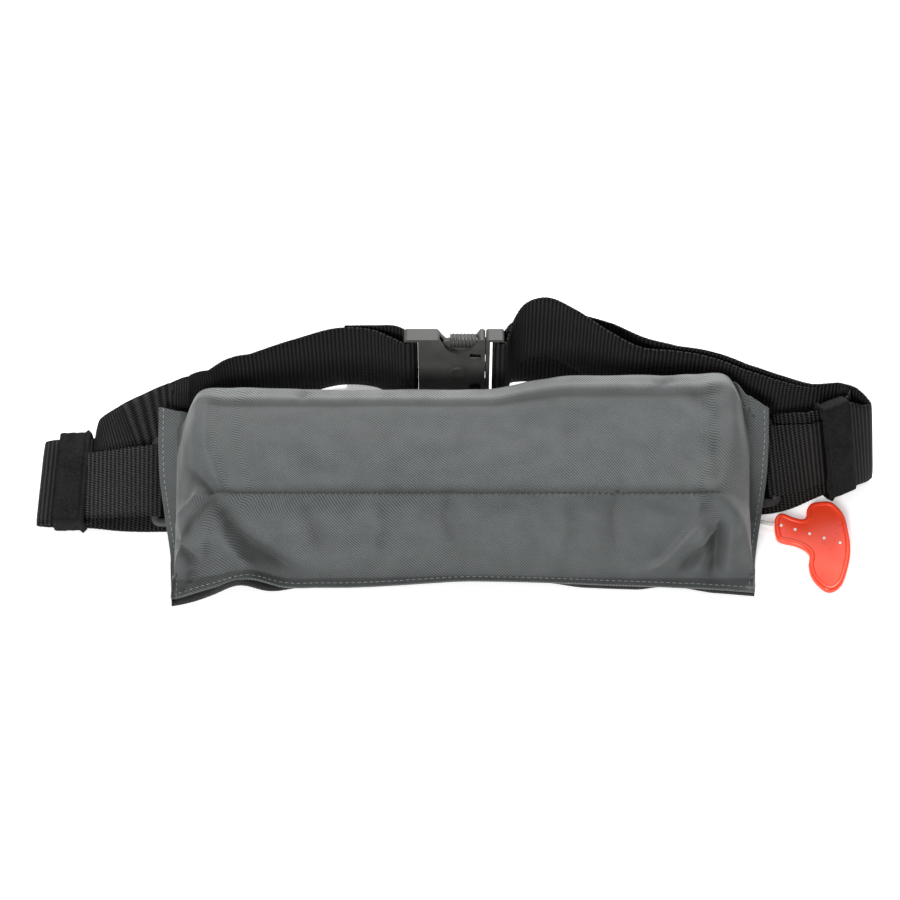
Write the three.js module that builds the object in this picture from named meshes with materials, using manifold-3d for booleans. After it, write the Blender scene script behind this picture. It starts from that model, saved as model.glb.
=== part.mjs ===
// Inflatable belt pack: a slim fabric pouch lying on its back, with a webbing waist belt, a side-release
// buckle and a red pull tab on a cord. Millimetres, +Z up, +X to the wearer's left, +Y towards the
// top of the pouch. The origin is on the underside of the belt, below the middle of the pouch.
import * as THREE from "three";
import { mergeVertices } from "three/addons/utils/BufferGeometryUtils.js";
import Module from "manifold-3d";

// Driving sizes
const pouchHalfLength = 157;
const pouchHalfDepth = 55;
const pouchHeight = 47;
const sideSeamInset = 13.5;
const coverWall = 1.6;
const panelThickness = 1.5;
const webbingWidth = 50;
const webbingThickness = 1.8;
const frontStrapWidth = 36;
const frontStrapThickness = 1.4;
const leftReach = 216;
const rightReach = 208;
const rearReach = 80;
const ringBar = 4.5;
const ringThickness = 2.6;
const ringDepth = 14;
const keeperWidth = 16;
const keeperWall = 1.0;
const buckleLength = 43;
const buckleHalfWidth = webbingWidth / 2 + 3;
const buckleThickness = 7;
const buckleWall = 2;
const barThickness = 3;
const cordDiameter = 2.2;
const tabThickness = 3.6;
const slotLength = 4.1;
const gap = 0.35;

// The buckle stands behind the pouch, and each side of the belt turns round the bar at its end
const buckleMiddle = { x: -8.2, y: 0.794 * rearReach, z: buckleHalfWidth + 2 };
const socketBar = buckleMiddle.x - buckleLength / 2 + barThickness / 2;
const plugBar = buckleMiddle.x + buckleLength / 2 + gap + slotLength + barThickness / 2;

// Materials
function fabric(name, color, roughness) {
  const material = new THREE.MeshStandardMaterial({ color, roughness, metalness: 0 });
  material.name = name;
  return material;
}
const coverCloth = fabric("cover_cloth", 0x6c7171, 0.9);
const backingCloth = fabric("backing_cloth", 0x1d1d1d, 0.95);
const webbing = fabric("webbing", 0x262626, 0.85);
const keeperCloth = fabric("keeper_cloth", 0x202020, 0.8);
const blackPlastic = fabric("black_plastic", 0x3b3a38, 0.45);
const redPlastic = fabric("red_plastic", 0xf0563c, 0.3);
const whiteCord = fabric("white_cord", 0xf2f2ee, 0.7);
const bladderFilm = fabric("bladder_film", 0xd9902f, 0.6);

const group = new THREE.Group();

function addPiece(name, geometry, material) {
  const mesh = new THREE.Mesh(geometry, material);
  mesh.name = name;
  group.add(mesh);
  return mesh;
}

function smooth(value, from, to) {
  const share = Math.min(1, Math.max(0, (value - from) / (to - from)));
  return share * share * (3 - 2 * share);
}

// A closed sheet between two grids of the same size, stitched round its edge
function closedSheet(topRows, bottomRows) {
  const rowCount = topRows.length;
  const columnCount = topRows[0].length;
  const points = [];
  for (const rows of [topRows, bottomRows]) {
    for (const row of rows) {
      for (const point of row) points.push(point.x, point.y, point.z);
    }
  }
  const layer = rowCount * columnCount;
  const at = (row, column) => row * columnCount + column;
  const faces = [];
  const quad = (a, b, c, d) => faces.push(a, b, c, a, c, d);
  for (let row = 0; row < rowCount - 1; row += 1) {
    for (let column = 0; column < columnCount - 1; column += 1) {
      const a = at(row, column);
      const b = at(row + 1, column);
      const c = at(row + 1, column + 1);
      const d = at(row, column + 1);
      quad(a, b, c, d);
      quad(layer + d, layer + c, layer + b, layer + a);
    }
  }
  for (let row = 0; row < rowCount - 1; row += 1) {
    const last = columnCount - 1;
    quad(at(row, 0), layer + at(row, 0), layer + at(row + 1, 0), at(row + 1, 0));
    quad(at(row, last), at(row + 1, last), layer + at(row + 1, last), layer + at(row, last));
  }
  for (let column = 0; column < columnCount - 1; column += 1) {
    const last = rowCount - 1;
    quad(at(0, column), at(0, column + 1), layer + at(0, column + 1), layer + at(0, column));
    quad(at(last, column), layer + at(last, column), layer + at(last, column + 1), at(last, column + 1));
  }
  const geometry = new THREE.BufferGeometry();
  geometry.setAttribute("position", new THREE.BufferAttribute(new Float32Array(points), 3));
  geometry.setIndex(faces);
  return geometry;
}

// A flat webbing along stations. Each station gives the low edge of the webbing, the lean of its width
// above the ground and the turn of its width about the vertical. Along, it counts from 0 at the bar of the
// buckle to 1 at the end of the pouch and 2 at the end of the belt
function stationsFrom(table, bar, reach) {
  const pouchEnd = Math.sign(reach) * pouchHalfLength;
  const { lerp } = THREE.MathUtils;
  return table.map(([, along, back, up, lean, turn]) => ({
    x: along <= 1 ? lerp(bar, pouchEnd, along) : lerp(pouchEnd, reach, along - 1),
    y: back * rearReach,
    z: up * webbingWidth,
    lean: THREE.MathUtils.degToRad(lean),
    turn: THREE.MathUtils.degToRad(turn),
  }));
}

function widthDirection(lean, turn) {
  return new THREE.Vector3(
    -Math.cos(lean) * Math.sin(turn),
    Math.cos(lean) * Math.cos(turn),
    Math.sin(lean),
  );
}

const stripStep = 7;

function webbingStrip(stations, width, thickness, onGround = true) {
  const curve = new THREE.CatmullRomCurve3(stations.map((s) => new THREE.Vector3(s.x, s.y, s.z)));
  const last = stations.length - 1;
  const samples = [];
  for (let index = 0; index < last; index += 1) {
    const from = stations[index];
    const to = stations[index + 1];
    const length = Math.hypot(to.x - from.x, to.y - from.y, to.z - from.z);
    const steps = Math.max(2, Math.round(length / stripStep));
    for (let step = 0; step < steps; step += 1) samples.push([index, step / steps]);
  }
  samples.push([last - 1, 1]);
  const topRows = [];
  const bottomRows = [];
  for (const [index, share] of samples) {
    const from = stations[index];
    const to = stations[index + 1];
    const place = (index + share) / last;
    const low = curve.getPoint(place);
    const lean = THREE.MathUtils.lerp(from.lean, to.lean, share);
    const turn = THREE.MathUtils.lerp(from.turn, to.turn, share);
    const across = widthDirection(lean, turn);
    const ahead = curve.getTangent(place);
    const normal = new THREE.Vector3().crossVectors(ahead, across).normalize();
    if (onGround) low.z = Math.max(0, low.z) + (thickness / 2) * Math.abs(normal.z);
    const topRow = [];
    const bottomRow = [];
    for (const widthShare of [0, 0.5, 1]) {
      const middle = low.clone().addScaledVector(across, widthShare * width);
      topRow.push(middle.clone().addScaledVector(normal, thickness / 2));
      bottomRow.push(middle.clone().addScaledVector(normal, -thickness / 2));
    }
    topRows.push(topRow);
    bottomRows.push(bottomRow);
  }
  return closedSheet(topRows, bottomRows);
}

// Left side of the waist belt, from the sewn loop on the socket half of the buckle round to the pouch
// Columns: place, along, back, up, lean, turn
const leftBeltStations = [
  ["end of the sewn return", 0.2473, 0.932, 0, 90, 0],
  ["sewn return", 0.1299, 0.925, 0.02, 90, 0],
  ["behind the slot", 0.0443, 0.893, 0.08, 90, 0],
  ["behind the bar", -0.0043, 0.839, 0.1, 90, 0],
  ["round the bar", -0.0361, 0.794, 0.1, 90, 0],
  ["before the bar", -0.0043, 0.749, 0.1, 90, 0],
  ["before the slot", 0.0661, 0.82, 0.05, 90, 0],
  ["rear run", 0.1383, 0.885, 0.03, 90, 0],
  ["rear run", 0.2707, 0.9, 0.03, 90, 0],
  ["rear run", 0.4418, 0.825, 0, 90, 0],
  ["rear run", 0.6112, 0.713, 0, 90, 0],
  ["behind the corner", 0.685, 0.662, 0, 88, 0],
  ["corner", 0.7789, 0.5, 0.01, 82, -8],
  ["twist", 0.8829, 0.3, 0.04, 64, -12],
  ["twist", 0.9265, 0.144, 0.068, 44, 0],
  ["twist", 0.9566, 0.062, 0.08, 27, 15],
  ["twist", 0.9885, 0.037, 0.08, 17, 24],
  ["twist", 1.2898, -0.075, 0.08, 10, 14],
  ["edge of the keeper", 1.5167, -0.2, 0.092, 3, 1],
  ["above the main run", 1.6522, -0.202, 0.088, 2, 0],
  ["before the fold", 1.8828, -0.2, 0.086, 1, 0],
  ["fold", 1.9671, -0.2, 0.064, 0, 0],
  ["under the fold", 1.8828, -0.2, 0.04, 0, 0],
  ["under the keeper", 1.6595, -0.206, 0.044, 0, 0],
  ["edge of the keeper", 1.5167, -0.21, 0.044, 0, 0],
  ["main run", 1.2202, -0.219, 0.006, 0, 0],
  ["edge of the pouch", 0.9449, -0.219, 0, 0, 0],
  ["under the pouch", 0.5575, -0.188, 0, 0, 0],
  ["end under the pouch", 0.2624, -0.169, 0, 0, 0],
];
const leftStations = stationsFrom(leftBeltStations, socketBar, -leftReach);
addPiece("left_belt", webbingStrip(leftStations, webbingWidth, webbingThickness), webbing);

// Right side of the waist belt, from the pouch round the inner loop and the arch to the bar of the plug
// half of the buckle, and back behind itself as the long tail with its outer loop
const rightBeltStations = [
  ["start under the pouch", -0.5822, -0.168, 0, 0, 0],
  ["middle", -0.1397, -0.15, 0, 0, 0],
  ["under the pouch", 0.5141, -0.113, 0, 0, 0],
  ["leaving the ground", 0.7164, -0.106, 0, 0, 0],
  ["below the flange", 0.8765, -0.1, 0, 15, 2],
  ["edge of the flange", 0.9927, -0.087, 0, 31, 5],
  ["main run", 1.1762, -0.056, 0.02, 46.4, 13],
  ["before the keeper", 1.4127, 0.004, 0.07, 62, 19],
  ["in the keeper", 1.6289, 0.0625, 0.085, 63, 20],
  ["start of the inner loop", 1.7838, 0.13, 0.08, 65, 21],
  ["end of the inner loop", 1.7961, 0.207, 0.06, 67, 14],
  ["rear run", 1.6125, 0.266, 0.05, 68, 5],
  ["rear run", 1.3352, 0.297, 0.04, 76, 0],
  ["rear run", 1.0212, 0.419, 0.012, 82, 0],
  ["rear run", 0.884, 0.569, 0, 88, 0],
  ["rear run", 0.7602, 0.688, 0, 90, 0],
  ["rear run", 0.6364, 0.735, 0, 90, 0],
  ["foot of the arch", 0.5111, 0.745, 0.04, 90, 0],
  ["arch", 0.3933, 0.815, 0.16, 90, 0],
  ["arch", 0.271, 0.9, 0.34, 90, 0],
  ["top of the arch", 0.1653, 0.94, 0.46, 90, 0],
  ["arch", 0.0898, 0.915, 0.42, 90, 0],
  ["arch", 0.0445, 0.85, 0.26, 90, 0],
  ["before the bar", 0.0113, 0.746, 0.1, 90, 0],
  ["round the bar", -0.0144, 0.759, 0.1, 90, 0],
  ["round the bar", -0.025, 0.794, 0.1, 90, 0],
  ["round the bar", -0.0144, 0.829, 0.1, 90, 0],
  ["behind the bar", 0.0113, 0.842, 0.1, 90, 0],
  ["tail", 0.0384, 0.9, 0.06, 88, 0],
  ["tail", 0.0898, 0.93, 0.02, 84, 0],
  ["tail", 0.1653, 0.935, 0, 80, 0],
  ["tail", 0.283, 0.92, 0, 80, 0],
  ["tail", 0.4114, 0.865, 0, 82, 0],
  ["tail", 0.5277, 0.795, 0, 86, 0],
  ["tail", 0.6454, 0.773, 0, 90, 0],
  ["tail", 0.7753, 0.726, 0, 90, 0],
  ["tail", 0.9021, 0.606, 0, 88, 0],
  ["tail", 1.0579, 0.466, 0.012, 83, 0],
  ["tail", 1.3352, 0.362, 0.04, 80, 0],
  ["tail", 1.6289, 0.32, 0.04, 74, 6],
  ["start of the outer loop", 1.845, 0.278, 0.04, 73, 16],
  ["outer loop", 1.9796, 0.217, 0.04, 75, 26],
  ["end of the outer loop", 2.0122, 0.18, 0.04, 74, 28],
  ["into the keeper", 1.9511, 0.14, 0.05, 71, 26],
  ["into the keeper", 1.8573, 0.1, 0.09, 65, 22],
  ["end in the keeper", 1.6941, 0.04, 0.11, 63, 20],
];
const rightStations = stationsFrom(rightBeltStations, plugBar, rightReach);
addPiece("right_belt", webbingStrip(rightStations, webbingWidth, webbingThickness), webbing);

// Where a strip lies at a place among its stations
function frameAt(stations, place) {
  const curve = new THREE.CatmullRomCurve3(stations.map((s) => new THREE.Vector3(s.x, s.y, s.z)));
  const last = stations.length - 1;
  const index = Math.min(last - 1, Math.floor(place));
  const share = place - index;
  const lean = THREE.MathUtils.lerp(stations[index].lean, stations[index + 1].lean, share);
  const turn = THREE.MathUtils.lerp(stations[index].turn, stations[index + 1].turn, share);
  const across = widthDirection(lean, turn);
  const tangent = curve.getTangent(place / last);
  const normal = new THREE.Vector3().crossVectors(tangent, across).normalize();
  if (normal.z < 0) normal.negate();
  const ahead = new THREE.Vector3().crossVectors(across, normal).normalize();
  return { low: curve.getPoint(place / last), across, ahead, normal, tangent, lean, turn };
}

function rectangle(shape, x0, y0, x1, y1, radius) {
  shape.moveTo(x0 + radius, y0);
  shape.lineTo(x1 - radius, y0);
  shape.absarc(x1 - radius, y0 + radius, radius, -Math.PI / 2, 0, false);
  shape.lineTo(x1, y1 - radius);
  shape.absarc(x1 - radius, y1 - radius, radius, 0, Math.PI / 2, false);
  shape.lineTo(x0 + radius, y1);
  shape.absarc(x0 + radius, y1 - radius, radius, Math.PI / 2, Math.PI, false);
  shape.lineTo(x0, y0 + radius);
  shape.absarc(x0 + radius, y0 + radius, radius, Math.PI, Math.PI * 1.5, false);
  return shape;
}

// Short front straps: each runs from its keeper to the bar of its ring and turns under the bar
const wrapRadius = ringThickness / 2 + gap + frontStrapThickness / 2;

function frontStrap(name, stations) {
  const last = stations.length - 1;
  const end = frameAt(stations, last);
  const way = end.tangent.clone().addScaledVector(end.across, -end.tangent.dot(end.across)).normalize();
  const bar = end.low.clone().addScaledVector(way, ringBar / 2).addScaledVector(end.normal, -wrapRadius);
  const turnRound = [
    [0, 1],
    [ringBar / 2 + 2 * gap, 0.8],
    [ringBar / 2 + 2 * gap + frontStrapThickness / 2, 0],
  ];
  const wrap = turnRound.map(([along, over]) => {
    const point = bar.clone().addScaledVector(way, along).addScaledVector(end.normal, over * wrapRadius);
    return { x: point.x, y: point.y, z: point.z, lean: end.lean, turn: end.turn };
  });
  addPiece(name, webbingStrip([...stations, ...wrap], frontStrapWidth, frontStrapThickness, false), webbing);
  return { bar, way, across: end.across };
}

// A flat plastic ring lies round the end of each front strap, below the flange of the pouch
function ring(name, { bar, way, across }) {
  const overhang = ringBar + 2 * gap;
  const outline = rectangle(new THREE.Shape(), -overhang, -ringBar / 2, frontStrapWidth + overhang,
    ringDepth - ringBar / 2, 2.5);
  const hole = rectangle(new THREE.Path(), -2 * gap, ringBar / 2, frontStrapWidth + 2 * gap,
    ringDepth - 1.5 * ringBar, 1);
  outline.holes.push(hole);
  const geometry = new THREE.ExtrudeGeometry(outline, {
    depth: ringThickness,
    bevelEnabled: false,
    curveSegments: 4,
  });
  geometry.translate(0, 0, -ringThickness / 2);
  const up = new THREE.Vector3().crossVectors(across, way);
  const mesh = addPiece(name, geometry, blackPlastic);
  mesh.applyMatrix4(new THREE.Matrix4().makeBasis(across, way, up));
  mesh.position.copy(bar);
}

const leftFrontStations = stationsFrom([
  ["in the keeper", 1.7108, -0.178, 0.16, 5, 0],
  ["edge of the keeper", 1.5424, -0.175, 0.162, 8, 2],
  ["front run", 1.3227, -0.169, 0.16, 13, 2],
  ["front run", 1.1543, -0.1625, 0.16, 18, 2],
  ["at the ring", 1.0005, -0.16, 0.16, 25, 0],
], socketBar, -leftReach);
ring("left_ring", frontStrap("left_front_strap", leftFrontStations));

const frontStrapInset = 9;
const layerStep = webbingThickness / 2 + frontStrapThickness / 2 + 3 * gap;
const ringStep = webbingThickness / 2 + 3.5 * gap + ringThickness / 2 + wrapRadius;

// The right front strap follows the main run of the belt, one layer above it
function layerAbove(stations, places, inset) {
  return places.map(([place, share]) => {
    const { low, across, normal, lean, turn } = frameAt(stations, place);
    const step = THREE.MathUtils.lerp(layerStep, ringStep, share);
    low.z += webbingThickness / 2 * normal.z;
    const point = low.addScaledVector(across, inset).addScaledVector(normal, step);
    return { x: point.x, y: point.y, z: point.z, lean, turn };
  });
}
const inKeeper = rightBeltStations.findIndex(([place]) => place === "in the keeper");
const rightFrontPlaces = [
  // place among the stations, share of the way from the belt up to the ring
  [inKeeper - 0.5, 0],
  [inKeeper - 1, 0.1],
  [inKeeper - 2, 0.6],
  [inKeeper - 2.5, 1],
];
const rightFrontStations = layerAbove(rightStations, rightFrontPlaces, frontStrapInset);
ring("right_ring", frontStrap("right_front_strap", rightFrontStations));

// Keepers: bands of smooth cloth, sewn to a closed loop round the stack of straps
function keeper(name, frame, stack, slack) {
  const bottom = -webbingThickness / 2 - slack;
  const inner = [
    [-slack, bottom],
    [webbingWidth + 1.6 * slack, bottom],
    [webbingWidth + 1.6 * slack, stack.rear],
    [frontStrapWidth, stack.rear],
    [-slack, stack.front],
  ];
  const outer = inner.map(([across, up]) => [
    across + Math.sign(across - frontStrapWidth / 2) * keeperWall,
    up + Math.sign(up) * keeperWall,
  ]);
  const shape = new THREE.Shape(outer.map(([x, y]) => new THREE.Vector2(x, y)));
  shape.holes.push(new THREE.Path(inner.map(([x, y]) => new THREE.Vector2(x, y))));
  const geometry = new THREE.ExtrudeGeometry(shape, { depth: keeperWidth, bevelEnabled: false });
  geometry.translate(0, 0, -keeperWidth / 2);
  const mesh = addPiece(name, geometry, keeperCloth);
  const along = new THREE.Vector3().crossVectors(frame.across, frame.normal);
  mesh.applyMatrix4(new THREE.Matrix4().makeBasis(frame.across, frame.normal, along));
  mesh.position.copy(frame.low);
  mesh.position.z += webbingThickness / 2 * frame.normal.z;
}
const underKeeper = leftBeltStations.findIndex(([place]) => place === "under the keeper");
const leftStack = { front: 8.2, rear: 12.5 };
keeper("left_keeper", frameAt(leftStations, underKeeper - 0.12), leftStack, 3 * gap);
const rightStack = { front: 5, rear: 5 };
keeper("right_keeper", frameAt(rightStations, inKeeper + 0.1), rightStack, 4 * gap);

// The ground that the pouch lies on rises where its rear corners ride up on the twisted belt
const rideLeft = { start: -0.518, slope: 0.48 };
const rideRight = { start: -0.378, slope: 0.715 };
const rideFrom = 0.688 * pouchHalfLength;
const rideFull = pouchHalfLength - sideSeamInset;

function panelLevel(x, y) {
  const ride = x < 0 ? rideLeft : rideRight;
  const rise = Math.max(0, y - ride.start * pouchHalfDepth) * ride.slope;
  const overBelt = webbingThickness + gap;
  const droop = smooth(y, -0.64 * pouchHalfDepth, -0.29 * pouchHalfDepth);
  return gap + (overBelt - gap) * droop + rise * smooth(Math.abs(x), rideFrom, rideFull);
}

// Outline of the flange: the front edge bows in, the rear corners stop short of the belt behind them
const flangeColumns = [
  // along, front edge, rear edge, as shares of the half length and the half depth
  [-1, -1.06, 0.64],
  [-0.914, -1.05, 0.59],
  [-0.86, -1.02, 0.59],
  [-0.8, -0.99, 0.68],
  [-0.73, -0.97, 0.85],
  [-0.6, -0.95, 0.95],
  [-0.3, -0.95, 0.96],
  [0, -0.91, 0.96],
  [0.3, -0.91, 0.96],
  [0.6, -0.94, 0.97],
  [0.76, -0.96, 0.95],
  [0.86, -0.98, 0.8],
  [0.914, -1.0, 0.63],
  [1, -1.03, 0.5],
];

function flangeEdge(x, column) {
  const along = x / pouchHalfLength;
  let index = 0;
  while (index < flangeColumns.length - 2 && flangeColumns[index + 1][0] < along) index += 1;
  const from = flangeColumns[index];
  const to = flangeColumns[index + 1];
  const share = Math.min(1, Math.max(0, (along - from[0]) / (to[0] - from[0])));
  return THREE.MathUtils.lerp(from[column], to[column], share) * pouchHalfDepth;
}

// The side edges lean in towards the front corners
const frontCornerInset = 13;
const rearCornerInset = 4;
function sideEdge(side, y) {
  const forward = smooth(-y, -pouchHalfDepth * 0.3, pouchHalfDepth);
  return side * (pouchHalfLength - THREE.MathUtils.lerp(rearCornerInset, frontCornerInset, forward));
}

// Sections across the pouch, from the front edge over the top to the rear edge
const pouchRows = [
  // depth share, height share, half length share at the left and right end, side depth share, and the
  // distance kept from the rear edge of the flange in millimetres
  { name: "front edge", depth: null, height: 0, left: 0.9, right: 0.9, side: -1, inset: 0 },
  { name: "front base", depth: -0.86, height: 0.04, left: 0.9, right: 0.9, side: -0.9, inset: 0 },
  { name: "lower gusset", depth: -0.72, height: 0.4, left: 0.89, right: 0.89, side: -0.68, inset: 0 },
  { name: "lower gusset", depth: -0.56, height: 0.76, left: 0.86, right: 0.86, side: -0.48, inset: 0 },
  { name: "crease seam", depth: -0.4, height: 0.97, left: 0.79, right: 0.8, side: -0.3, inset: 0 },
  { name: "front panel", depth: 0.1, height: 1.03, left: 0.85, right: 0.85, side: 0.02, inset: 0 },
  { name: "top seam", depth: 0.6, height: 1, left: 0.85, right: 0.85, side: 0.28, inset: -3 },
  { name: "crest", depth: 0.73, height: 0.93, left: 0.84, right: 0.84, side: 0.4, inset: -3 },
  { name: "top gusset", depth: 0.83, height: 0.5, left: 0.83, right: 0.84, side: 0.47, inset: 5.5 },
  { name: "rear base", depth: 0.89, height: 0.04, left: 0.83, right: 0.85, side: 0.52, inset: 2 },
  { name: "rear edge", depth: null, height: 0, left: 0.83, right: 0.85, side: 0.6, inset: 0 },
];
const innerColumns = 16;
const seamGap = 2 * gap;
const nearFlange = 8;

// The right half of the top edge is fuller than the left
const swell = { from: 10, full: 50, back: 4.5, up: 4.5 };
const flangeThickness = panelThickness + seamGap + coverWall;

function coverPoint(row, column) {
  const { depth, height, left, right, side, inset } = pouchRows[row];
  const lastColumn = innerColumns + 6;
  const end = column < 3 ? column : column > lastColumn - 3 ? lastColumn - column : 3;
  const hand = column <= lastColumn / 2 ? -1 : 1;
  const edgeRow = depth === null;
  const bodyEnd = pouchHalfLength * (hand < 0 ? left : right);
  const seam = pouchHalfLength - sideSeamInset;
  const sideY = row === 0 ? flangeEdge(hand * seam, 1) : edgeRow
    ? flangeEdge(hand * seam, 2) : side * pouchHalfDepth;
  let x;
  let y = sideY;
  let up = 0;
  if (end === 0) {
    x = sideEdge(hand, sideY);
    if (row === 0) y = flangeEdge(x, 1);
    if (edgeRow && row > 0) y = flangeEdge(x, 2);
  } else {
    const share = (column - 3) / innerColumns;
    const span = THREE.MathUtils.lerp(-pouchHalfLength * left, pouchHalfLength * right, share);
    const climb = [0, 0, 0.62, 1][end];
    const out = [0, 0, 0.2, 1][end];
    x = end === 3 ? span : THREE.MathUtils.lerp(hand * seam, hand * bodyEnd, out);
    const fullY = row === 0 ? flangeEdge(x, 1) : edgeRow ? flangeEdge(x, 2) : depth * pouchHalfDepth;
    y = THREE.MathUtils.lerp(sideY, fullY, end === 3 ? 1 : out);
    up = height * pouchHeight * climb;
    const swollen = smooth(depth, 0.1, 0.6) * smooth(x, swell.from, swell.full) * smooth(height, 0.4, 0.9);
    y += swell.back * swollen;
    up += swell.up * swollen * climb;
    if (!edgeRow) y = Math.min(y, flangeEdge(x, 2) - inset);
  }
  const level = panelLevel(x, y) + flangeThickness;
  return new THREE.Vector3(x, y, Math.max(level, up));
}

function coverGrid() {
  const rows = [];
  for (let column = 0; column <= innerColumns + 6; column += 1) {
    rows.push(pouchRows.map((_, row) => coverPoint(row, column)));
  }
  return rows;
}

// The same grid moved inward, square to the cloth
function insetGrid(rows, distance) {
  return rows.map((row, i) => row.map((point, j) => {
    const before = rows[Math.max(0, i - 1)][j];
    const after = rows[Math.min(rows.length - 1, i + 1)][j];
    const front = row[Math.max(0, j - 1)];
    const rear = row[Math.min(row.length - 1, j + 1)];
    const normal = new THREE.Vector3().crossVectors(after.clone().sub(before), rear.clone().sub(front));
    normal.normalize();
    const inner = point.clone().addScaledVector(normal, -distance);
    const flat = panelLevel(point.x, point.y) + flangeThickness;
    if (point.z > flat + nearFlange) return inner;
    const down = Math.min(distance / Math.max(normal.z, 0.5), point.z - flat + coverWall);
    return new THREE.Vector3(point.x, point.y, point.z - down);
  }));
}
const coverOutside = coverGrid();
const coverInside = insetGrid(coverOutside, coverWall);
addPiece("front_cover", closedSheet(coverOutside, coverInside), coverCloth);

// Back panel: one flat layer of backing cloth, with a notch at the right edge for the pull cord
const cordWay = { x: pouchHalfLength - sideSeamInset - 4, y: -10, width: 9 };

async function solidMaker() {
  const wasm = await Module();
  wasm.setup();
  const toSolid = (geometry) => {
    const bare = geometry.clone();
    bare.deleteAttribute("normal");
    bare.deleteAttribute("uv");
    const merged = mergeVertices(bare);
    return new wasm.Manifold(new wasm.Mesh({
      numProp: 3,
      vertProperties: new Float32Array(merged.attributes.position.array),
      triVerts: new Uint32Array(merged.index.array),
    }));
  };
  const toGeometry = (solid) => {
    const mesh = solid.getMesh();
    const geometry = new THREE.BufferGeometry();
    geometry.setAttribute("position", new THREE.BufferAttribute(new Float32Array(mesh.vertProperties), 3));
    geometry.setIndex(Array.from(mesh.triVerts));
    return geometry;
  };
  return { toSolid, toGeometry };
}
const { toSolid, toGeometry } = await solidMaker();

function boxGeometry(x0, x1, y0, y1, z0, z1) {
  const geometry = new THREE.BoxGeometry(x1 - x0, y1 - y0, z1 - z0);
  geometry.translate((x0 + x1) / 2, (y0 + y1) / 2, (z0 + z1) / 2);
  return geometry;
}

function panelGrid(height) {
  return coverOutside.map((row, column) => row.map((_, index) => {
    const share = index / (row.length - 1);
    const point = row[0].clone().lerp(row[row.length - 1], share);
    const atSide = column === 0 || column === coverOutside.length - 1;
    const x = atSide ? sideEdge(Math.sign(point.x), point.y) : point.x;
    return new THREE.Vector3(x, point.y, panelLevel(x, point.y) + height);
  }));
}
const panelSheet = toSolid(closedSheet(panelGrid(panelThickness), panelGrid(0)));
const coverSolid = toSolid(closedSheet(coverOutside, coverInside));
const coverSpace = coverSolid.add(coverSolid.translate([0, 0, -seamGap]));
const panelSolid = panelSheet.subtract(coverSpace);
const notch = toSolid(boxGeometry(cordWay.x - 20, pouchHalfLength + 5,
  cordWay.y - cordWay.width / 2, cordWay.y + cordWay.width / 2, -1, pouchHeight));
addPiece("back_panel", toGeometry(panelSolid.subtract(notch)), backingCloth);

// Folded air bladder: it fills the cover, and the pull cord runs to it
function bladderGrids() {
  const clear = coverWall + 2 * gap;
  const shrink = 0.82;
  const middle = insetGrid(coverOutside, clear).slice(3, -3).map((row) => row.slice(1, -1));
  const top = middle.map((row) => row.map((point) => {
    const floor = panelLevel(point.x, point.y) + panelThickness + 2 * gap;
    return new THREE.Vector3(point.x * shrink, point.y * 0.88, Math.max(point.z - 1.5, floor + 2));
  }));
  const bottom = top.map((row) => row.map((point) => {
    const floor = panelLevel(point.x, point.y) + panelThickness + 2 * gap;
    const nearEnd = smooth(Math.abs(point.x), 0.54 * pouchHalfLength, 0.7 * pouchHalfLength);
    const rounded = Math.min(5 * nearEnd, point.z - floor - 1.5);
    return new THREE.Vector3(point.x, point.y, floor + Math.max(0, rounded));
  }));
  return [top, bottom];
}
addPiece("folded_bladder", closedSheet(...bladderGrids()), bladderFilm);

// Side-release buckle, standing on its edge. It is drawn flat, length along X and width along Y
const slotHalfWidth = webbingWidth / 2 + 3 * gap;
const windowLength = 5.5;
const armHalfThickness = buckleThickness / 2 - buckleWall - gap;

function plate(outline, thickness) {
  const geometry = new THREE.ExtrudeGeometry(outline, {
    depth: thickness,
    bevelEnabled: false,
    curveSegments: 8,
  });
  geometry.translate(0, 0, -thickness / 2);
  return toSolid(geometry);
}

function block(x0, x1, y0, y1, halfThickness) {
  return toSolid(boxGeometry(x0, x1, y0, y1, -halfThickness, halfThickness));
}

function thinBar(solid, x0, x1) {
  const past = buckleThickness;
  const trims = [
    toSolid(boxGeometry(x0, x1, -slotHalfWidth, slotHalfWidth, barThickness / 2, past)),
    toSolid(boxGeometry(x0, x1, -slotHalfWidth, slotHalfWidth, -past, -barThickness / 2)),
  ];
  return trims.reduce((rest, trim) => rest.subtract(trim), solid);
}

function socketHalf() {
  const halfLength = buckleLength / 2;
  const left = -halfLength;
  const right = halfLength - buckleWall;
  const cutLeft = -5;
  const cutRight = right - 2;
  const cutDepth = 0.46 * buckleHalfWidth;
  const outline = rectangle(new THREE.Shape(), left, -buckleHalfWidth, right, buckleHalfWidth, 2);
  let solid = plate(outline, buckleThickness);
  for (const side of [-1, 1]) {
    const cut = new THREE.Shape();
    cut.moveTo(cutLeft, side * (buckleHalfWidth + 1));
    cut.quadraticCurveTo((cutLeft + cutRight) / 2, side * (buckleHalfWidth - 2 * cutDepth),
      cutRight, side * (buckleHalfWidth + 1));
    cut.closePath();
    solid = solid.subtract(plate(cut, buckleThickness * 2));
    const windowX = right - 2.2 - windowLength;
    const windowY = [0.37 * buckleHalfWidth, 0.57 * buckleHalfWidth].map((y) => side * y).sort((a, b) => a - b);
    solid = solid.subtract(block(windowX, windowX + windowLength, ...windowY, buckleThickness));
  }
  const cavityHalf = buckleHalfWidth - buckleWall;
  solid = solid.subtract(block(-halfLength + 17, right + 1, -cavityHalf, cavityHalf,
    buckleThickness / 2 - buckleWall));
  const slotStart = left + barThickness;
  solid = solid.subtract(block(slotStart, slotStart + slotLength, -slotHalfWidth, slotHalfWidth,
    buckleThickness));
  return thinBar(solid, left - 1, slotStart + 0.5);
}

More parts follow.
